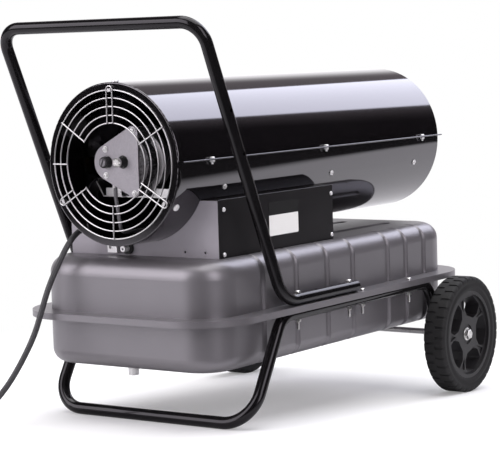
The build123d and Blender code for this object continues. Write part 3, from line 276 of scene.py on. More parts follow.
metals = {
    "guardWire": {
        "colour": (0.52, 0.51, 0.515), "second": (0.64, 0.63, 0.635), "grain": 900,
        "patches": 260, "roughness": 0.26, "unevenness": 0.12, "relief": 0.08},
    "brightZinc": {
        "metallic": 0.5, "colour": (0.76, 0.75, 0.76), "second": (0.88, 0.87, 0.87), "grain": 700,
        "patches": 420, "roughness": 0.3, "unevenness": 0.14, "relief": 0.12},
    "zincPlate": {
        "colour": (0.58, 0.57, 0.56), "second": (0.78, 0.77, 0.76), "grain": 700,
        "patches": 420, "roughness": 0.22, "unevenness": 0.14, "relief": 0.12},
    "foldedZinc": {
        "colour": (0.56, 0.55, 0.56), "second": (0.74, 0.73, 0.73), "grain": 60, "patches": 130,
        "stretch": (1, 9, 9), "roughness": 0.24, "unevenness": 0.14, "relief": 0.08},
    "dieCast": {
        "colour": (0.52, 0.5, 0.52), "second": (0.64, 0.62, 0.63), "grain": 600,
        "patches": 340, "roughness": 0.42, "unevenness": 0.15, "relief": 0.35},
    "pumpCover": {
        "metallic": 0.35, "colour": (0.25, 0.235, 0.255), "second": (0.31, 0.292, 0.316),
        "grain": 520, "patches": 300, "roughness": 0.46, "unevenness": 0.12, "relief": 0.2},
    "bareSteel": {
        "colour": (0.42, 0.41, 0.4), "second": (0.55, 0.54, 0.53), "grain": 160, "patches": 260,
        "stretch": (1, 12, 12), "roughness": 0.24, "unevenness": 0.18, "relief": 0.12},
    "fanSheet": {
        "colour": (0.6, 0.6, 0.61), "second": (0.74, 0.74, 0.74), "grain": 50, "patches": 90,
        "stretch": (14, 1, 1), "roughness": 0.3, "unevenness": 0.15, "relief": 0.06},
    "brass": {
        "colour": (0.6, 0.42, 0.16), "second": (0.72, 0.53, 0.24), "grain": 400,
        "patches": 300, "roughness": 0.24, "unevenness": 0.14, "relief": 0.1},
    "dullSteel": {
        "metallic": 0.6, "colour": (0.12, 0.115, 0.125), "second": (0.2, 0.19, 0.205),
        "grain": 300, "patches": 200, "roughness": 0.3, "unevenness": 0.12, "relief": 0.15},
    "carbon": {
        "metallic": 0.1, "colour": (0.007, 0.007, 0.0075), "second": (0.012, 0.012, 0.013),
        "grain": 500, "patches": 200, "roughness": 0.36, "unevenness": 0.1, "relief": 0.2},
}

plastics = {
    "blackPlastic": {
        "colour": (0.014, 0.0137, 0.014), "second": (0.018, 0.0175, 0.018), "skinScale": 1500,
        "roughness": 0.38, "unevenness": 0.14, "relief": 0.2},
    "redPlastic": {
        "colour": (0.45, 0.012, 0.01), "second": (0.52, 0.018, 0.014), "skinScale": 1500,
        "roughness": 0.25, "unevenness": 0.08, "relief": 0.05},
    "wheelPlastic": {
        "colour": (0.012, 0.011, 0.0125), "second": (0.016, 0.015, 0.0165), "skinScale": 900,
        "roughness": 0.4, "unevenness": 0.16, "relief": 0.25},
    "tyreRubber": {
        "colour": (0.008, 0.0075, 0.0082), "second": (0.011, 0.0105, 0.0112), "skinScale": 700,
        "roughness": 0.62, "unevenness": 0.2, "relief": 0.4, "specular": 0.4},
    "rubber": {
        "colour": (0.012, 0.012, 0.012), "second": (0.017, 0.017, 0.017), "skinScale": 800,
        "roughness": 0.55, "unevenness": 0.18, "relief": 0.3},
    "greyHose": {
        "colour": (0.13, 0.125, 0.135), "second": (0.17, 0.165, 0.175), "skinScale": 600,
        "roughness": 0.35, "unevenness": 0.12, "relief": 0.15},
    "cordSheath": {
        "colour": (0.028, 0.027, 0.03), "second": (0.035, 0.034, 0.0375), "skinScale": 900,
        "roughness": 0.42, "unevenness": 0.14, "relief": 0.25},
    "ceramic": {
        "colour": (0.78, 0.76, 0.7), "second": (0.84, 0.82, 0.77), "skinScale": 500,
        "roughness": 0.2, "unevenness": 0.08, "relief": 0.06},
}

felt = {
    "colour": (0.01, 0.0093, 0.01), "second": (0.12, 0.112, 0.12), "specular": 0.1,
    "fibres": 170, "fibreBand": (0.42, 0.62), "stretch": (1, 2.4, 2.4), "tufts": 120,
    "roughness": 0.85, "unevenness": 0.1, "relief": 0.7, "depth": 0.0008}

# The burner's steel, with its tints from cold to hot. Cold and hot are x in metres.
heated = {
    "cold": 0.16, "hot": 0.36, "drift": 0.35, "driftCloud": 9,
    "tints": (
        (0.0, (0.46, 0.45, 0.44)), (0.45, (0.5, 0.36, 0.17)), (0.68, (0.27, 0.14, 0.2)),
        (0.9, (0.12, 0.15, 0.27)), (1.0, (0.2, 0.2, 0.22)),
    ),
    "crust": (0.09, 0.075, 0.07), "crustGrain": 160, "crustBand": (0.55, 0.8), "crusted": 0.6,
    "roughness": 0.38, "unevenness": 0.25, "relief": 0.25, "depth": 0.0005}


def feltFinish():
    made = Finish("feltPad", specularIorLevel=felt["specular"])
    fibres = made.noise(felt["fibres"], 5, 0.75, felt["stretch"])
    tufts = made.noise(felt["tufts"], 3, 0.7)
    share = fibres.band(*felt["fibreBand"])
    made.set("baseColor", made.mix(share, felt["colour"], felt["second"]))
    made.set("roughness", felt["roughness"] + tufts * felt["unevenness"])
    made.bump(fibres + tufts, felt["relief"], felt["depth"])
    return made.material


def chamberFinish():
    # Steel that runs straw, purple and blue toward the hot end, with a burnt crust on it
    made = Finish("heatedSteel", metallic=1.0)
    heat = made.axis("X").band(heated["cold"], heated["hot"])
    heat = heat + (made.noise(heated["driftCloud"], 3) - 0.5) * heated["drift"]
    tint = made.node("ValToRGB", {"stops": heated["tints"]}, {0: heat})
    grain = made.noise(heated["crustGrain"], 4, 0.65)
    crust = grain.band(*heated["crustBand"]) * heated["crusted"]
    made.set("baseColor", made.mix(crust, tint, heated["crust"]))
    made.set("roughness", heated["roughness"] + grain * heated["unevenness"])
    made.bump(grain, heated["relief"], heated["depth"])
    return made.material


kinds = ((enamel, paints), (metal, metals), (moulded, plastics))
finishes = {name: make(name, look) for make, looks in kinds for name, look in looks.items()}
finishes["feltPad"] = feltFinish()
finishes["heatedSteel"] = chamberFinish()

dressing = {
    "barrelPaint": "upper_shell lower_shell",
    "tankPaint": "tank_upper tank_lower",
    "framePaint": "handle_tube frame_tube",
    "coverPaint": "side_cover control_panel motor_housing ignition_transformer",
    "panelPaint": "base_box",
    "guardWire": "fan_guard guard_clips",
    "zincPlate": "shell_screws pump_screws cover_screws frame_bolts frame_nuts axle_bolts"
    " wheel_axle axle_spacers drain_plug pressure_screw fuel_pickup",
    "brightZinc": "fuel_fittings",
    "foldedZinc": "motor_bracket filler_neck burner_head",
    "dieCast": "pump_body",
    "pumpCover": "filter_cover",
    "bareSteel": "motor_shaft motor_bearings motor_stator pump_rotor",
    "fanSheet": "fan",
    "brass": "fuel_nozzle",
    "carbon": "pump_vanes",
    "blackPlastic": "gauge_plug switch_frame thermostat_body thermostat_knob fuel_cap fuel_gauge"
    " photocell",
    "redPlastic": "power_switch",
    "wheelPlastic": "right_wheel_hub left_wheel_hub",
    "tyreRubber": "right_wheel_tyre left_wheel_tyre",
    "rubber": "fuel_grommet cord_gland",
    "greyHose": "air_hose fuel_hose",
    "cordSheath": "power_cord cord_coil cord_plug",
    "ceramic": "ignition_electrodes",
    "feltPad": "felt_filter",
    "heatedSteel": "combustion_chamber flame_spreader",
}

for finish, names in dressing.items():
    for name in names.split():
        for place in nodes[name].material_slots:
            place.material = finishes[finish]
undressed = sorted(set(nodes) - set(" ".join(dressing.values()).split()))
print("finishes:", len(finishes), "left plain:", undressed)


def addPiece(name, bm, finish, body, replaces=(), crease=32, level=True):
    # bm is in level millimetres, unless level is False and it is in metres as it stands;
    # where finish holds more than one name, a face's material index picks from them
    shape = bpy.data.meshes.new(name)
    bm.normal_update()
    bm.to_mesh(shape)
    bm.free()
    if level:
        shape.transform(stand)
    shape.shade_smooth()
    shape.set_sharp_from_angle(angle=math.radians(crease))
    for one in finish.split():
        shape.materials.append(finishes[one])
    piece = addObject(name, shape)
    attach(piece, body)
    if replaces:
        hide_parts(*replaces)
    return piece


def seat(at, way, spin=0.0):
    # local Z points along way
    turn = Vector(way).to_track_quat("Z", "Y").to_matrix().to_4x4()
    return Matrix.Translation(at) @ turn @ Matrix.Rotation(math.radians(spin), 4, "Z")


def lathe(bm, profile, steps, at=Matrix.Identity(4), index=0):
    # profile is (height, radius) from one end to the other; a radius of 0 closes that end
    rows = []
    for height, radius in profile:
        if radius < 1e-6:
            rows.append([bm.verts.new(at @ Vector((0, 0, height)))])
            continue
        row = []
        for k in range(steps):
            turn = 2 * math.pi * k / steps
            point = Vector((radius * math.cos(turn), radius * math.sin(turn), height))
            row.append(bm.verts.new(at @ point))
        rows.append(row)
    for one, two in zip(rows, rows[1:]):
        for k in range(steps):
            m = (k + 1) % steps
            corners = [one[k % len(one)], one[m % len(one)], two[m % len(two)], two[k % len(two)]]
            kept = list(dict.fromkeys(corners))
            if len(kept) > 2:
                bm.faces.new(kept).material_index = index


def prism(bm, outline, low, high, at=Matrix.Identity(4), chamfer=0.0, index=0):
    # outline is a list of (x, y); the top edge is drawn in by the chamfer
    count = len(outline)
    middle = Vector((sum(p[0] for p in outline) / count, sum(p[1] for p in outline) / count))
    layers = [(low, 0.0), (high, 0.0)]
    if chamfer:
        layers = [(low, 0.0), (high - chamfer, 0.0), (high, chamfer)]
    rings = []
    for height, inset in layers:
        ring = []
        for point in outline:
            flat = Vector(point)
            way = flat - middle
            flat = middle + way * (1 - inset / way.length)
            ring.append(bm.verts.new(at @ Vector((flat.x, flat.y, height))))
        rings.append(ring)
    for one, two in zip(rings, rings[1:]):
        for k in range(count):
            m = (k + 1) % count
            bm.faces.new((one[k], one[m], two[m], two[k])).material_index = index
    bm.faces.new(list(reversed(rings[0]))).material_index = index
    bm.faces.new(rings[-1]).material_index = index


def asMesh(bm):
    mesh = bpy.data.meshes.new("template")
    bm.to_mesh(mesh)
    bm.free()
    return mesh


def carve(bm, cutter):
    # bm less cutter, through Blender's own boolean
    made = []
    for part in (bm, cutter):
        bmesh.ops.recalc_face_normals(part, faces=part.faces)
        made.append(addObject("carving", asMesh(part)))
    cut = made[0].modifiers.new("cut", "BOOLEAN")
    cut.operation, cut.solver, cut.object = "DIFFERENCE", "EXACT", made[1]
    graph = bpy.context.evaluated_depsgraph_get()
    result = bpy.data.meshes.new_from_object(made[0].evaluated_get(graph))
    for thing in made:
        bpy.data.objects.remove(thing)
    return result


def stamp(bm, template, at):
    # a transformed copy of the template joins bm
    copied = template.copy()
    copied.transform(at)
    bm.from_mesh(copied)
    bpy.data.meshes.remove(copied)


# Shares of the head's own height and radius, and of its washer's
panHead = {
    "outline": ((0.0, 1.0), (0.28, 1.0), (0.55, 0.95), (0.8, 0.8), (0.95, 0.55), (1.0, 0.0)),
    "cross": (0.17, 0.62),  # half width and reach of each arm
    "crossFloor": 0.35,
}
hexagon = {"chamfer": 0.14, "rim": (0.7, 0.96)}


def crossScrew(look):
    # Pan head with a cross recess and a plain shank
    bm = bmesh.new()
    r, h = look["head"], look["height"]
    shank, reach = look["shank"], look["reach"]
    profile = [(-reach, 0), (-reach, shank * 0.6), (-reach + 0.6, shank)]
    profile += [(-0.02, shank), (0, shank)]
    profile += [(h * up, r * out) for up, out in panHead["outline"]]
    lathe(bm, profile, 28)
    half, arm = (r * share for share in panHead["cross"])
    cross, corner = [], [(half, half), (half, arm), (-half, arm)]
    for quarter in range(4):
        cross += corner
        corner = [(-y, x) for x, y in corner]
    cutter = bmesh.new()
    prism(cutter, cross, h * panHead["crossFloor"], h + 2)
    return carve(bm, cutter)


def hexHead(look):
    # Hexagon, over a turned washer where the look has one
    bm = bmesh.new()
    thick, height = look.get("washerThick", 0.0), look["height"]
    if thick:
        r, (rise, inward) = look["washer"], hexagon["rim"]
        lathe(bm, [(0, 0), (0, r), (thick * rise, r), (thick, r * inward), (thick, 0)], 36)
    corner = look["across"] / math.sqrt(3)
    turns = [math.radians(60 * k) for k in range(6)]
    corners = [(corner * math.cos(turn), corner * math.sin(turn)) for turn in turns]
    prism(bm, corners, thick, thick + height, chamfer=height * hexagon["chamfer"])
    return asMesh(bm)


def washerRing(look):
    bm = bmesh.new()
    outer, inner, thick, lip = look["outer"], look["inner"], look["thick"], look["lip"]
    profile = [(0, inner), (0, outer - lip), (lip, outer), (thick - lip, outer)]
    profile += [(thick, outer - lip), (thick, inner), (0, inner)]
    lathe(bm, profile, 36)
    bmesh.ops.remove_doubles(bm, verts=bm.verts, dist=0.001)
    return asMesh(bm)


def threadRod(look):
    # a plain core with thread rings up to a bevelled tip, along local Z
    bm = bmesh.new()
    radius, reach, pitch = look["radius"], look["reach"], look["pitch"]
    profile = [(0.0, 0), (0.0, radius)]
    for k in range(int((reach - 1.2) / pitch)):
        here = 0.2 + pitch * k
        profile += [(here + pitch * 0.3, radius), (here + pitch * 0.6, radius - look["depth"])]
    profile += [(reach - 0.7, radius - 0.1), (reach, radius * 0.7), (reach, 0)]
    lathe(bm, profile, 20)
    return asMesh(bm)


def ringRows(low, high, radius, pitch, depth):
    # thread rings between two heights of a lathe's profile
    rows = []
    for k in range(int((high - low) / pitch)):
        here = low + pitch * k
        rows += [(here, radius - depth), (here + pitch * 0.35, radius)]
        rows += [(here + pitch * 0.65, radius)]
    return rows


# In millimetres as it hangs and lies. The free and the lying points are measured from the exit,
# and the coil follows on from them.
cord = {
    "exit": (-303.257, 94.0, 300.194),
    "lead": 20.0,
    "radius": 4.5,
    "low": 4.6,
    "free": (
        (-40.0, 1.5, 290.0), (-55.5, 4.5, 272.5), (-68.0, 10.0, 247.5), (-83.0, 18.5, 211.0),
        (-92.0, 27.0, 168.0), (-98.0, 35.0, 135.0), (-114.0, 49.0, 92.0), (-132.0, 62.0, 57.0),
        (-153.0, 74.0, 31.0), (-178.0, 87.5, 12.0),
    ),
    "lying": ((-204.0, 101.5), (-231.0, 115.8)),
    "coilInner": 45.0,
    "pitch": 9.6,
    "turns": 1.75,
    "layer": 9.6,
    "perTurn": 24,
    "climb": 0.5,  # the part of a turn in which it climbs to the second layer
    "leave": 0.5,  # and in which it leaves the coil for the plug
    "flare": 26.0,
    "plugHeight": 19.1,
    "plugRun": ((-471.4, 345.95), (-466.9, 343.8)),
}


def cordRoute():
    start = Vector(cord["exit"])
    route = [start, start + Vector((-math.cos(tilt), 0, -math.sin(tilt))) * cord["lead"]]
    route += [Vector((start.x + x, start.y + y, z)) for x, y, z in cord["free"]]
    route += [Vector((start.x + x, start.y + y, cord["low"])) for x, y in cord["lying"]]
    heading = (route[-1] - route[-2]).normalized()
    begin = route[-1] + heading * 2 * cord["radius"]
    rate = cord["pitch"] / (2 * math.pi)
    widest = cord["coilInner"] + cord["turns"] * cord["pitch"]
    lead = math.atan2(rate, widest)
    aside = Vector((heading.y, -heading.x, 0))
    radial = -aside * math.cos(lead) - heading * math.sin(lead)
    centre = begin - radial * widest
    ahead = Vector((radial.y, -radial.x, 0))
    last = 2 * cord["turns"]
    for k in range(int(last * cord["perTurn"]) + 1):
        turns = k / cord["perTurn"]
        wound = min(turns, last - turns)
        climb = (turns - cord["turns"] + cord["climb"] / 2) / cord["climb"]
        height = cord["low"] + cord["layer"] * min(max(climb, 0), 1)
        flare = max(0.0, (turns - last + cord["leave"]) / cord["leave"])
        radius = widest - cord["pitch"] * wound + cord["flare"] * flare**1.5
        height += (cord["plugHeight"] - height) * flare
        turn = 2 * math.pi * turns
        point = centre + (radial * math.cos(turn) + ahead * math.sin(turn)) * radius
        route.append(Vector((point.x, point.y, height)))
    route += [Vector((*place, cord["plugHeight"])) for place in cord["plugRun"]]
    return [p / 1000 for p in route]


def addCord():
    route = cordRoute()
    curve = bpy.data.curves.new("mainsCord", "CURVE")
    curve.dimensions = "3D"
    spline = curve.splines.new("NURBS")
    spline.points.add(len(route) - 1)
    for point, place in zip(spline.points, route):
        point.co = (*place, 1)
    spline.order_u = 3
    spline.use_endpoint_u = True
    spline.resolution_u = 6
    curve.bevel_depth = cord["radius"] / 1000
    curve.bevel_resolution = 5
    curve.use_fill_caps = True
    curve.materials.append(finishes["cordSheath"])
    piece = addObject("mainsCord", curve)
    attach(piece, "heater")
    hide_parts("power_cord", "cord_coil")
    return piece


# Rows are (distance out of the panel, radius)
gland = {
    "place": (94.0, 331.0),
    "collar": (
        (-1.5, 4.6), (-1.5, 6.9), (-0.05, 6.9), (0, 10.4), (1.6, 10.8), (2.6, 10.2), (2.8, 9.6),
    ),
    "start": 3.0,
    "reach": 25.0,
    "root": 9.6,
    "tip": 5.5,
    "ribs": 6,
    "rib": 0.6,  # the share of each step that is rib, before its groove
    "groove": (0.68, 0.8, 0.9),  # where the groove starts, and its depth at both ends
    "mouth": ((25.0, 5.5), (25.3, 4.7), (23.0, 4.55)),
}


def addGland():
    # Tapered strain relief with ring grooves, pushed into the panel
    start, reach, ribs = gland["start"], gland["reach"], gland["ribs"]
    taper = gland["tip"] - gland["root"]
    edges = [
        (start + (reach - start) * k / ribs, gland["root"] + taper * k / ribs)
        for k in range(ribs + 1)
    ]
    share, (sink, near, far) = gland["rib"], gland["groove"]
    profile = list(gland["collar"])
    for (low, one), (high, two) in zip(edges, edges[1:]):
        span = high - low
        profile += [(low, one), (low + span * share, one * (1 - share) + two * share)]
        profile += [(low + span * sink, two - near), (high - 0.3, two - far)]
    bm = bmesh.new()
    at = seat((box["front"], *gland["place"]), (-1, 0, 0))
    lathe(bm, profile + list(gland["mouth"]), 36, at)
    return addPiece("strainRelief", bm, "rubber", "heater", ["cord_gland"])


# Placed as it lies on the floor; rows are (distance from the neck, radius)
plug = {
    "at": (-467.358, 344.032, 19.1),
    "way": (0.90263, -0.43041, 0.0),
    "neck": ((0.0, 4.7), (0.0, 5.8)),
    "ribs": 4,
    "firstRib": (0.8, 6.0),
    "ribStep": (3.2, 0.75),
    "rib": ((0.0, 0.0), (1.8, 0.5), (2.1, -0.4), (2.9, -0.3)),
    "grip": (
        (14.0, 9.4), (15.0, 13.0), (17.0, 15.8), (20.0, 17.0), (26.0, 17.2), (31.0, 16.6),
        (35.0, 16.9), (38.0, 18.6), (39.5, 18.95), (43.6, 18.95), (44.6, 18.2), (45.0, 17.2),
        (45.0, 15.6), (44.4, 15.2), (44.4, 0),
    ),
    "sleeve": ((44.0, 0), (44.0, 3.1), (44.9, 3.1), (45.1, 2.4), (54.0, 2.4)),
    "pin": ((54.0, 2.35), (62.4, 2.35), (63.6, 1.7), (64.0, 0.9), (64.0, 0)),
    "pinsApart": 19.0,
}


def addPlug():
    # Round two-pin plug: ribbed neck, waisted grip and a flat face
    bm = bmesh.new()
    at = seat(plug["at"], plug["way"])
    profile = list(plug["neck"])
    for k in range(plug["ribs"]):
        low, size = (first + step * k for first, step in zip(plug["firstRib"], plug["ribStep"]))
        profile += [(low + along, size + out) for along, out in plug["rib"]]
    lathe(bm, profile + list(plug["grip"]), 48, at)
    for side in (-1, 1):
        aside = Matrix.Translation((side * plug["pinsApart"] / 2, 0, 0))
        base = at @ Matrix.Rotation(math.radians(90), 4, "Z") @ aside
        lathe(bm, plug["sleeve"], 20, base)
        lathe(bm, plug["pin"], 20, base, 1)
    bm.transform(toMetres)
    finish = "cordSheath zincPlate"
    return addPiece("mainsPlug", bm, finish, "heater", ["cord_plug"], level=False)


cordPiece = addCord()
glandPiece = addGland()
plugPiece = addPlug()
print("cord laid")


# "turns" holds the first screw's angle and the step to the next, so that no two stop alike
shellScrews = {
    "seam": {"head": 4.0, "height": 2.6, "shank": 1.95, "reach": 9.0, "turns": (17, 31)},
    "seamStations": (79.0, 398.0, 715.0),
    "nut": {"across": 7.0, "height": 3.2, "turns": (0, 13)},
    "side": {"head": 4.5, "height": 3.0, "shank": 1.95, "reach": 8.0, "turns": (25, 50)},
    "sideStations": (122.9, 427.9, 701.3),
    "sideAngles": (-19.0, 199.0),
    "clip": {"head": 5.5, "height": 3.4, "shank": 1.95, "reach": 8.0, "turns": (0, 40)},
    "clipStation": 12.8,
    "clipAngles": (-30.7, 90.0, 210.7),
    "lift": 0.05,
}

pumpFace = 34.0

pumpScrews = {
    "screw": {"head": 3.8, "height": 3.0, "shank": 1.95, "reach": 14.0, "turns": (20, 33)},
    "washer": {"outer": 4.9, "inner": 2.1, "thick": 1.0, "lip": 0.15},
    "places": ((40.6, 21.0), (40.6, -19.0), (-13.8, 50.0), (-13.8, -46.0)),
}

coverScrews = {
    "screw": {"head": 3.5, "height": 2.4, "shank": 1.95, "reach": 6.0, "turns": (12, 41)},
    "places": ((82.0, 73.5), (80.5, 5.5), (383.5, 74.5), (383.0, 7.5)),
}

frameBolts = {
    "head": {"head": 4.8, "height": 3.9, "shank": 2.45, "reach": 8.0, "turns": (0, 30)},
    "nut": {"across": 8.0, "height": 4.0, "turns": (0, 22)},
    "tail": {"radius": 2.45, "reach": 20.0, "pitch": 0.8, "depth": 0.35},
    "tubeStations": (207.0, 357.0),
    "flangeStations": (398.0, 549.0),
    "offset": 190.0,
    "frameRun": 191.9,
    "handleRun": 214.1,
    "tube": 9.5,
    "lift": 0.1,
}


def turned(look, k):
    first, step = look["turns"]
    return first + step * k


def onBarrel(angle, x, spin):
    # on the barrel's skin, with the angle measured up from the sticker side
    turn = math.radians(angle)
    out = Vector((0, -math.cos(turn), math.sin(turn)))
    skin = out * (barrel["radius"] + shellScrews["lift"])
    return seat(Vector((x, 0, barrel["axis"])) + skin, out, spin)


def onPump(y, z, out=0.0, spin=0.0):
    # on the face of the pump, with y and z measured from the barrel's axis
    return seat((pumpFace - out, y, barrel["axis"] + z), (-1, 0, 0), spin)


def addShellScrews():
    seam, side, clip = (crossScrew(shellScrews[name]) for name in ("seam", "side", "clip"))
    nut = hexHead(shellScrews["nut"])
    bm = bmesh.new()
    rise = barrel["axis"] + barrel["seamRise"]
    for hand in (-1, 1):
        y = hand * (barrel["radius"] + barrel["flange"] / 2)
        for k, x in enumerate(shellScrews["seamStations"]):
            spin = turned(shellScrews["seam"], k)
            stamp(bm, seam, seat((x, y, rise + barrel["sheet"]), (0, 0, 1), spin))
            spin = turned(shellScrews["nut"], k)
            stamp(bm, nut, seat((x, y, rise - barrel["sheet"]), (0, 0, -1), spin))
    for k, angle in enumerate(shellScrews["clipAngles"]):
        spin = turned(shellScrews["clip"], k)
        stamp(bm, clip, onBarrel(angle, shellScrews["clipStation"], spin))
    for angle in shellScrews["sideAngles"]:
        for k, x in enumerate(shellScrews["sideStations"]):
            stamp(bm, side, onBarrel(angle, x, turned(shellScrews["side"], k)))
    addPiece("shellScrews", bm, "brightZinc", "heater", ["shell_screws"])


def addPumpScrews():
    screw, washer = crossScrew(pumpScrews["screw"]), washerRing(pumpScrews["washer"])
    bm = bmesh.new()
    for k, (y, z) in enumerate(pumpScrews["places"]):
        stamp(bm, washer, onPump(y, z))
        spin = turned(pumpScrews["screw"], k)
        stamp(bm, screw, onPump(y, z, pumpScrews["washer"]["thick"], spin))
    addPiece("pumpScrews", bm, "brightZinc", "heater", ["pump_screws"])


def addCoverScrews():
    screw = crossScrew(coverScrews["screw"])
    bm = bmesh.new()
    for side in (-1, 1):
        for k, (x, z) in enumerate(coverScrews["places"]):
            place = (x, side * box["halfWidth"], tank["top"] + z)
            stamp(bm, screw, seat(place, (0, side, 0), turned(coverScrews["screw"], k)))
    addPiece("coverScrews", bm, "brightZinc", "heater", ["cover_screws"])


def addFrameBolts():
    # Domed heads on top, and below each a nut with the bolt's threaded end standing out of it
    head, nut = crossScrew(frameBolts["head"]), hexHead(frameBolts["nut"])
    tail = threadRod(frameBolts["tail"])
    low = frameBolts["frameRun"] - frameBolts["tube"]
    onTube = frameBolts["handleRun"] + frameBolts["tube"] + frameBolts["lift"]
    tops = [(x, onTube) for x in frameBolts["tubeStations"]]
    tops += [(x, tank["flangeTop"]) for x in frameBolts["flangeStations"]]
    bm = bmesh.new()
    for side in (-1, 1):
        y = side * frameBolts["offset"]
        for k, (x, top) in enumerate(tops):
            stamp(bm, head, seat((x, y, top), (0, 0, 1), turned(frameBolts["head"], k)))
            under = (x, y, low - frameBolts["lift"])
            stamp(bm, nut, seat(under, (0, 0, -1), turned(frameBolts["nut"], k)))
            stamp(bm, tail, seat((x, y, low + frameBolts["nut"]["height"]), (0, 0, -1)))
    addPiece("frameBolts", bm, "zincPlate", "heater", ["frame_bolts", "frame_nuts"])


addShellScrews()
addPumpScrews()
addCoverScrews()
addFrameBolts()
print("screws driven")


hem = {"start": 1.0, "end": 777.5, "steps": 8, "gap": 0.02, "crease": 50}


def addHems():
    # The sheet edges of the two seam flanges are rolled round, one bead each side
    bm = bmesh.new()
    radius, steps = barrel["sheet"], hem["steps"]
    for side in (-1, 1):
        rows = []
        for x in (hem["start"], hem["end"]):
            row = []
            for k in range(steps + 1):
                turn = math.radians(-90 + 180 * k / steps)
                out = barrel["radius"] + barrel["flange"] + radius * math.cos(turn) + hem["gap"]
                z = barrel["axis"] + barrel["seamRise"] + radius * math.sin(turn)
                row.append(bm.verts.new((x, side * out, z)))
            rows.append(row)
        for k in range(steps):
            bm.faces.new((rows[0][k], rows[1][k], rows[1][k + 1], rows[0][k + 1]))
        for row in rows:
            bm.faces.new(row)
        bm.faces.new((rows[0][0], rows[0][-1], rows[1][-1], rows[1][0]))
    bmesh.ops.recalc_face_normals(bm, faces=bm.faces)
    addPiece("seamHems", bm, "barrelPaint", "heater", crease=hem["crease"])


addHems()
print("seam hemmed")


# Heights of the two fittings are measured out of the pump's face
gaugePlug = {
    "place": (38.0, 1.0),
    "radius": 8.5,
    "root": -12.0,
    "threads": (-11.5, 8.6),
    "pitch": 1.5,
    "depth": 0.5,
    "face": 10.0,
    "socket": ((10.0, 6.8), (9.3, 6.4), (9.3, 0)),
    "collar": ((9.0, 0), (9.0, 6.2), (11.4, 6.2), (12.0, 5.6), (12.0, 0)),
    "slot": (7, 10.2, 13.0),
    "slotTurn": 65,
}

regulator = {
    "place": (7.2, 1.6),
    "radius": 7.3,
    "root": -16.0,
    "threadsFrom": -15.0,
    "pitch": 1.25,
    "depth": 0.45,
    "reach": 17.5,
    "head": 5.4,
    "slot": (9, 2.5),
    # in and out of the screw's radius, the painted shade ring of its well
    "well": (0.4, 2.8),
}


def slotBar(half, low, high, index=0):
    # what a screwdriver slot is cut with, 2 mm wide
    bar = bmesh.new()
    prism(bar, [(-half, -1.0), (half, -1.0), (half, 1.0), (-half, 1.0)], low, high, index=index)
    return bar


def addGaugePlug():
    # A threaded plug with a deep slotted socket, its face standing out of the pump cover
    at = onPump(*gaugePlug["place"])
    r, root, face = gaugePlug["radius"], gaugePlug["root"], gaugePlug["face"]
    bm = bmesh.new()
    profile = [(root, 0), (root, r)]
    profile += ringRows(*gaugePlug["threads"], r, gaugePlug["pitch"], gaugePlug["depth"])
    profile += [(face - 0.8, r), (face, r - 0.8), *gaugePlug["socket"]]
    lathe(bm, profile, 40, at)
    collar = bmesh.new()
    lathe(collar, gaugePlug["collar"], 36, index=1)
    slotted = carve(collar, slotBar(*gaugePlug["slot"], index=1))
    stamp(bm, slotted, at @ Matrix.Rotation(math.radians(gaugePlug["slotTurn"]), 4, "Z"))
    # a thin dark ring laid on the pump face round the pressure screw: painted shade for the well
    # that the screw stands in
    inner, outer = (regulator["radius"] + more for more in regulator["well"])
    ring = [(0.02, inner), (0.02, outer), (0.5, outer - 0.2), (0.5, inner), (0.02, inner)]
    lathe(bm, ring, 40, onPump(*regulator["place"]))
    finish = "carbon dullSteel"
    addPiece("gaugePlug", bm, finish, "heater", ["gauge_plug"])


def addRegulator():
    # A black threaded body with a plated head, slotted to turn it
    at = onPump(*regulator["place"])
    r, reach, root = regulator["radius"], regulator["reach"], regulator["root"]
    neck = reach - regulator["head"]
    bm = bmesh.new()
    profile = [(root, 0), (root, r)]
    profile += ringRows(
        regulator["threadsFrom"], neck - 0.2, r, regulator["pitch"], regulator["depth"]
    )
    profile += [(neck + 0.2, r - 0.5), (neck + 0.2, 0)]
    lathe(bm, profile, 40, at)
    head = bmesh.new()
    rows = [(neck, 0), (neck, r - 0.4), (neck + 0.4, r)]
    rows += [(reach - 1.8, r), (reach, r - 1.8), (reach, 0)]
    lathe(head, rows, 40)
    half, deep = regulator["slot"]
    slotted = carve(head, slotBar(half, reach - deep, reach + 1))
    for face in slotted.polygons:
        face.material_index = 1
    stamp(bm, slotted, at)
    finish = "carbon zincPlate"
    addPiece("regulatorScrew", bm, finish, "regulator", ["pressure_screw"])


addGaugePlug()
addRegulator()
print("pump fitted")


# Rows are (distance below the hexagon, radius)
drain = {
    "place": (92.0, 46.0, 113.0),
    "ring": ((-0.5, 0), (-0.5, 10.2), (2.6, 10.2), (3.0, 9.6), (3.0, 0)),
    "knob": (
        (2.9, 0), (2.9, 8.6), (4.0, 8.6), (4.6, 7.8), (5.6, 7.8), (6.2, 8.6), (15.6, 8.6),
        (16.7, 7.4), (17.0, 6.0), (17.0, 0),
    ),
}


def addDrainKnob():
    # The plug goes on below its hexagon as a dark sealing ring and a plated knob
    at = seat(drain["place"], (0, 0, -1))
    bm = bmesh.new()
    lathe(bm, drain["ring"], 32, at)
    lathe(bm, drain["knob"], 32, at, 1)
    addPiece("drainKnob", bm, "carbon brightZinc", "heater")


addDrainKnob()
print("drain knob on")


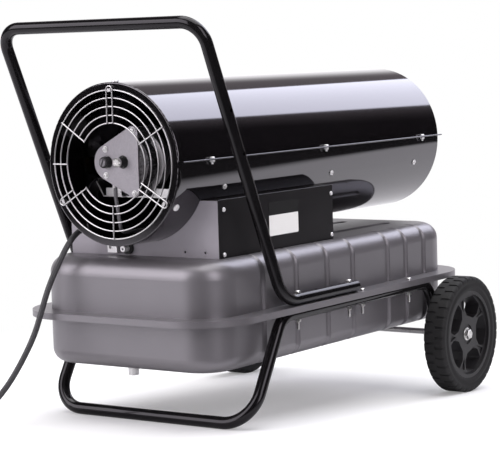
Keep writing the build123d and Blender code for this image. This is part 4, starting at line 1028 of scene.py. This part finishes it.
# A side of the tyre is (distance in from its shoulder, radius). The notches are cut at shares
# of a block's length, in turn on the two sides of the tread.
tyre = {
    "station": 654.7,
    "offset": 231.0,
    "radius": 100.0,
    "width": 39.4,
    "side": (
        (2.0, 75.1), (0.6, 77.5), (0.0, 80.0), (0.0, 83.0), (0.7, 84.2), (0.7, 88.5), (0.0, 89.7),
        (0.0, 93.5), (0.5, 96.0), (1.6, 98.2), (3.4, 99.6), (5.5, 100.0),
    ),
    "blocks": 36,
    "steps": (0.0, 0.04, 0.24, 0.28, 0.5, 0.54, 0.74, 0.78),
    "inner": (0.04, 0.24),
    "outer": (0.54, 0.74),
    "notch": 17.7,
    "depth": 1.7,
    "notchFrom": 95.0,
    "crown": 99.0,
    "crease": 38,
}


def addTyre(side, name, body, node):
    # Two rows of staggered notches run in from the shoulders
    half, notch, top = tyre["width"] / 2, tyre["notch"], tyre["radius"]
    rows = [(inset - half, r) for inset, r in tyre["side"]]
    rows += [(-half + notch - 0.7, top), (-half + notch, top)]
    rows += [(-x, r) for x, r in reversed(rows)]
    at = seat((tyre["station"], side * tyre["offset"], top), (0, side, 0))
    bm = bmesh.new()
    grid = []
    for k in range(tyre["blocks"]):
        for share in tyre["steps"]:
            turn = 2 * math.pi * (k + share) / tyre["blocks"]
            line = []
            for x, r in rows:
                cut = share in tyre["inner" if x < 0 else "outer"]
                if cut and r > tyre["notchFrom"] and abs(x) > half - notch + 0.3:
                    r -= tyre["depth"] * (1.0 if r > tyre["crown"] else 0.8)
                point = Vector((r * math.cos(turn), r * math.sin(turn), x))
                line.append(bm.verts.new(at @ point))
            grid.append(line)
    for one, two in zip(grid, grid[1:] + grid[:1]):
        for j in range(len(rows)):
            m = (j + 1) % len(rows)
            bm.faces.new((one[j], two[j], two[m], one[m]))
    bmesh.ops.recalc_face_normals(bm, faces=bm.faces)
    addPiece(name, bm, "tyreRubber", body, [node], crease=tyre["crease"])


wheelBolt = {
    "across": 15.0, "height": 5.6, "washer": 11.0, "washerThick": 1.6, "sunk": 8.7, "turn": 8,
}


def addWheelBolts():
    head = hexHead(wheelBolt)
    face = tyre["offset"] + tyre["width"] / 2 - wheelBolt["sunk"]
    bm = bmesh.new()
    for side in (-1, 1):
        place = (tyre["station"], side * face, tyre["radius"])
        stamp(bm, head, seat(place, (0, side, 0), wheelBolt["turn"]))
    addPiece("wheelBolts", bm, "zincPlate", "heater", ["axle_bolts"])


addTyre(-1, "rightTyre", "right_wheel", "right_wheel_tyre")
addTyre(1, "leftTyre", "left_wheel", "left_wheel_tyre")
addWheelBolts()
print("wheels shod")


# A blank film on the side cover, pale with a dark head above the split
label = {
    "x": (203.0, 285.0),
    "z": (310.0, 363.0),
    "split": 342.0,
    "thick": 0.18,
    "corner": 2.0,
    "gap": 0.02,
    "paper": ((0.64, 0.63, 0.61), (0.70, 0.69, 0.68)),
    "head": ((0.006, 0.0055, 0.006), (0.009, 0.0085, 0.009)),
    "grain": 500,
    "roughness": 0.38,
    "unevenness": 0.12,
}


def labelFinish():
    made = Finish("labelFilm", specularIorLevel=0.25)
    # the dark head of the label follows the tilt of the cover
    line = made.axis("Z") - made.axis("X") * math.tan(tilt)
    split = label["split"] / math.cos(tilt) - stance["drop"] - math.tan(tilt) * stance["shiftX"]
    grain = made.noise(label["grain"], 2)
    paper, dark = made.mix(grain, *label["paper"]), made.mix(grain, *label["head"])
    made.set("baseColor", made.mix(line > split / 1000, paper, dark))
    made.set("roughness", label["roughness"] + grain * label["unevenness"])
    made.bump(grain, 0.05, 0.0002)
    return made.material


def roundedOutline(low, high, corner, steps=5):
    points = []
    middles = [(high[0] - corner, high[1] - corner, 0), (low[0] + corner, high[1] - corner, 90)]
    middles += [(low[0] + corner, low[1] + corner, 180), (high[0] - corner, low[1] + corner, 270)]
    for x, y, start in middles:
        for k in range(steps + 1):
            turn = math.radians(start + 90 * k / steps)
            points.append((x + corner * math.cos(turn), y + corner * math.sin(turn)))
    return points


def addLabel():
    low, high = zip(label["x"], label["z"])
    outline = roundedOutline(low, high, label["corner"])
    # local X runs along the cover, local Y up and local Z out of the sticker side
    at = Matrix(((1, 0, 0, 0), (0, 0, -1, -box["halfWidth"]), (0, 1, 0, 0), (0, 0, 0, 1)))
    bm = bmesh.new()
    prism(bm, outline, label["gap"], label["thick"], at)
    addPiece("coverLabel", bm, "labelFilm", "heater")


finishes["labelFilm"] = labelFinish()
addLabel()
print("label stuck on")


# Lengths in metres. In reflections the white floor ends at the edge where the dark room begins,
# and to the eye it brightens into the white surround between the two distances of "fade".
floorLook = {
    "half": 30,
    "colour": (0.93, 0.925, 0.935),
    "cloud": 3,
    "clouded": 0.985,
    "dark": (0.02, 0.02, 0.02),
    "edge": {"slope": 0.43, "offset": 0.62, "fade": (-0.05, 0.25)},
    "front": (-2.4, -1.6),
    "reflected": 0.7,
    "near": 0.22,
    "fade": (0.5, 1.25),
}


def addFloor():
    half = floorLook["half"]
    corners = [(-half, -half, 0), (half, -half, 0), (half, half, 0), (-half, half, 0)]
    mesh = bpy.data.meshes.new("studioFloor")
    mesh.from_pydata(corners, [], [(0, 1, 2, 3)])
    floor = addObject("studioFloor", mesh)
    made = Finish("paleFloor", roughness=0.9, specularIorLevel=0.0)
    edge = floorLook["edge"]
    x, y = made.axis("X"), made.axis("Y")
    inside = (y + x * edge["slope"] + edge["offset"]).band(*edge["fade"])
    inside = inside * x.band(*floorLook["front"])
    glossy = made.node("LightPath", out="Is Glossy Ray")
    gone = glossy * (1 - inside * floorLook["reflected"])
    second = [v * floorLook["clouded"] for v in floorLook["colour"]]
    white = made.mix(made.noise(floorLook["cloud"], 2), floorLook["colour"], second)
    made.set("baseColor", made.mix(gone, white, floorLook["dark"]))
    flat = made.place((1, 1, 0))
    reach = made.node("VectorMath", {"operation": "LENGTH"}, {0: flat}, "Value")
    glow = made.node("Emission", None, {"Color": (1, 1, 1), "Strength": 1.0})
    near = floorLook["near"]
    share = reach.band(*floorLook["fade"]) * (1 - near) + near
    share = share * made.node("LightPath", out="Is Camera Ray")
    painted = Wire(made, made.shader.outputs[0])
    both = made.node("MixShader", None, {0: share, 1: painted, 2: glow})
    output = next(n for n in made.tree.nodes if n.type == "OUTPUT_MATERIAL")
    made.plug(output.inputs["Surface"], both)
    mesh.materials.append(made.material)


# Soft boxes stand all round, far away: azimuth from +X, height over the horizon, half sizes and
# soft edge in degrees.
studio = {
    "dark": (0.022, 0.02, 0.022),
    "boxes": (
        # a dim surround behind the outlet, then the bright sweep low in it
        {"azimuth": 18, "height": 20, "wide": 44, "tall": 42, "soft": 16,
         "colour": (0.3, 0.27, 0.29)},
        {"azimuth": 44, "height": 4, "wide": 30, "tall": 26, "soft": 15,
         "colour": (1.35, 1.32, 1.36)},
        # the box that the barrel carries as its crisp band
        {"azimuth": -3.5, "height": 39, "wide": 15.5, "tall": 18, "soft": 1.2,
         "colour": (3.7, 3.75, 4.3)},
        # one over the fan end from the far side, one over the sticker side, one overhead
        {"azimuth": 148, "height": 23, "wide": 28, "tall": 26, "soft": 6,
         "colour": (3.9, 3.77, 3.95)},
        {"azimuth": 252, "height": 24, "wide": 17, "tall": 26, "soft": 8,
         "colour": (3.9, 3.75, 3.95)},
        {"azimuth": 0, "height": 86, "wide": 33, "tall": 33, "soft": 8,
         "colour": (3.7, 3.7, 3.7)},
    ),
}


def aimed(azimuth, height):
    turn, rise = math.radians(azimuth), math.radians(height)
    level = math.cos(rise)
    return Vector((level * math.cos(turn), level * math.sin(turn), math.sin(rise)))


def addWorld():
    world = bpy.data.worlds.new("studioWorld")
    bpy.context.scene.world = world
    world.use_nodes = True
    board = Board(world.node_tree)
    board.tree.nodes.clear()
    way = board.node("TexCoord")
    shade = studio["dark"]
    for softbox in studio["boxes"]:
        middle = aimed(softbox["azimuth"], softbox["height"])
        right = aimed(softbox["azimuth"] + 90, 0)
        depth = board.dot(way, middle)
        mask = depth > 0
        for side, half in ((right, softbox["wide"]), (right.cross(middle), softbox["tall"])):
            across = board.dot(way, side) / depth
            reach = across.maths("ABSOLUTE", across)
            inner, outer = (math.tan(math.radians(half - soft)) for soft in (softbox["soft"], 0))
            mask = mask * (1 - reach.band(inner, outer))
        shade = board.mix(mask, shade, softbox["colour"])
    lit = board.node("Background", None, {"Color": shade, "Strength": 1.0})
    seen = board.node("Background", None, {"Color": (1, 1, 1), "Strength": 1.0})
    camera = board.node("LightPath", out="Is Camera Ray")
    both = board.node("MixShader", None, {0: camera, 1: lit, 2: seen})
    board.node("OutputWorld", None, {"Surface": both})


addFloor()
addWorld()
bpy.context.scene.view_settings.view_transform = "Standard"
print("studio lit")
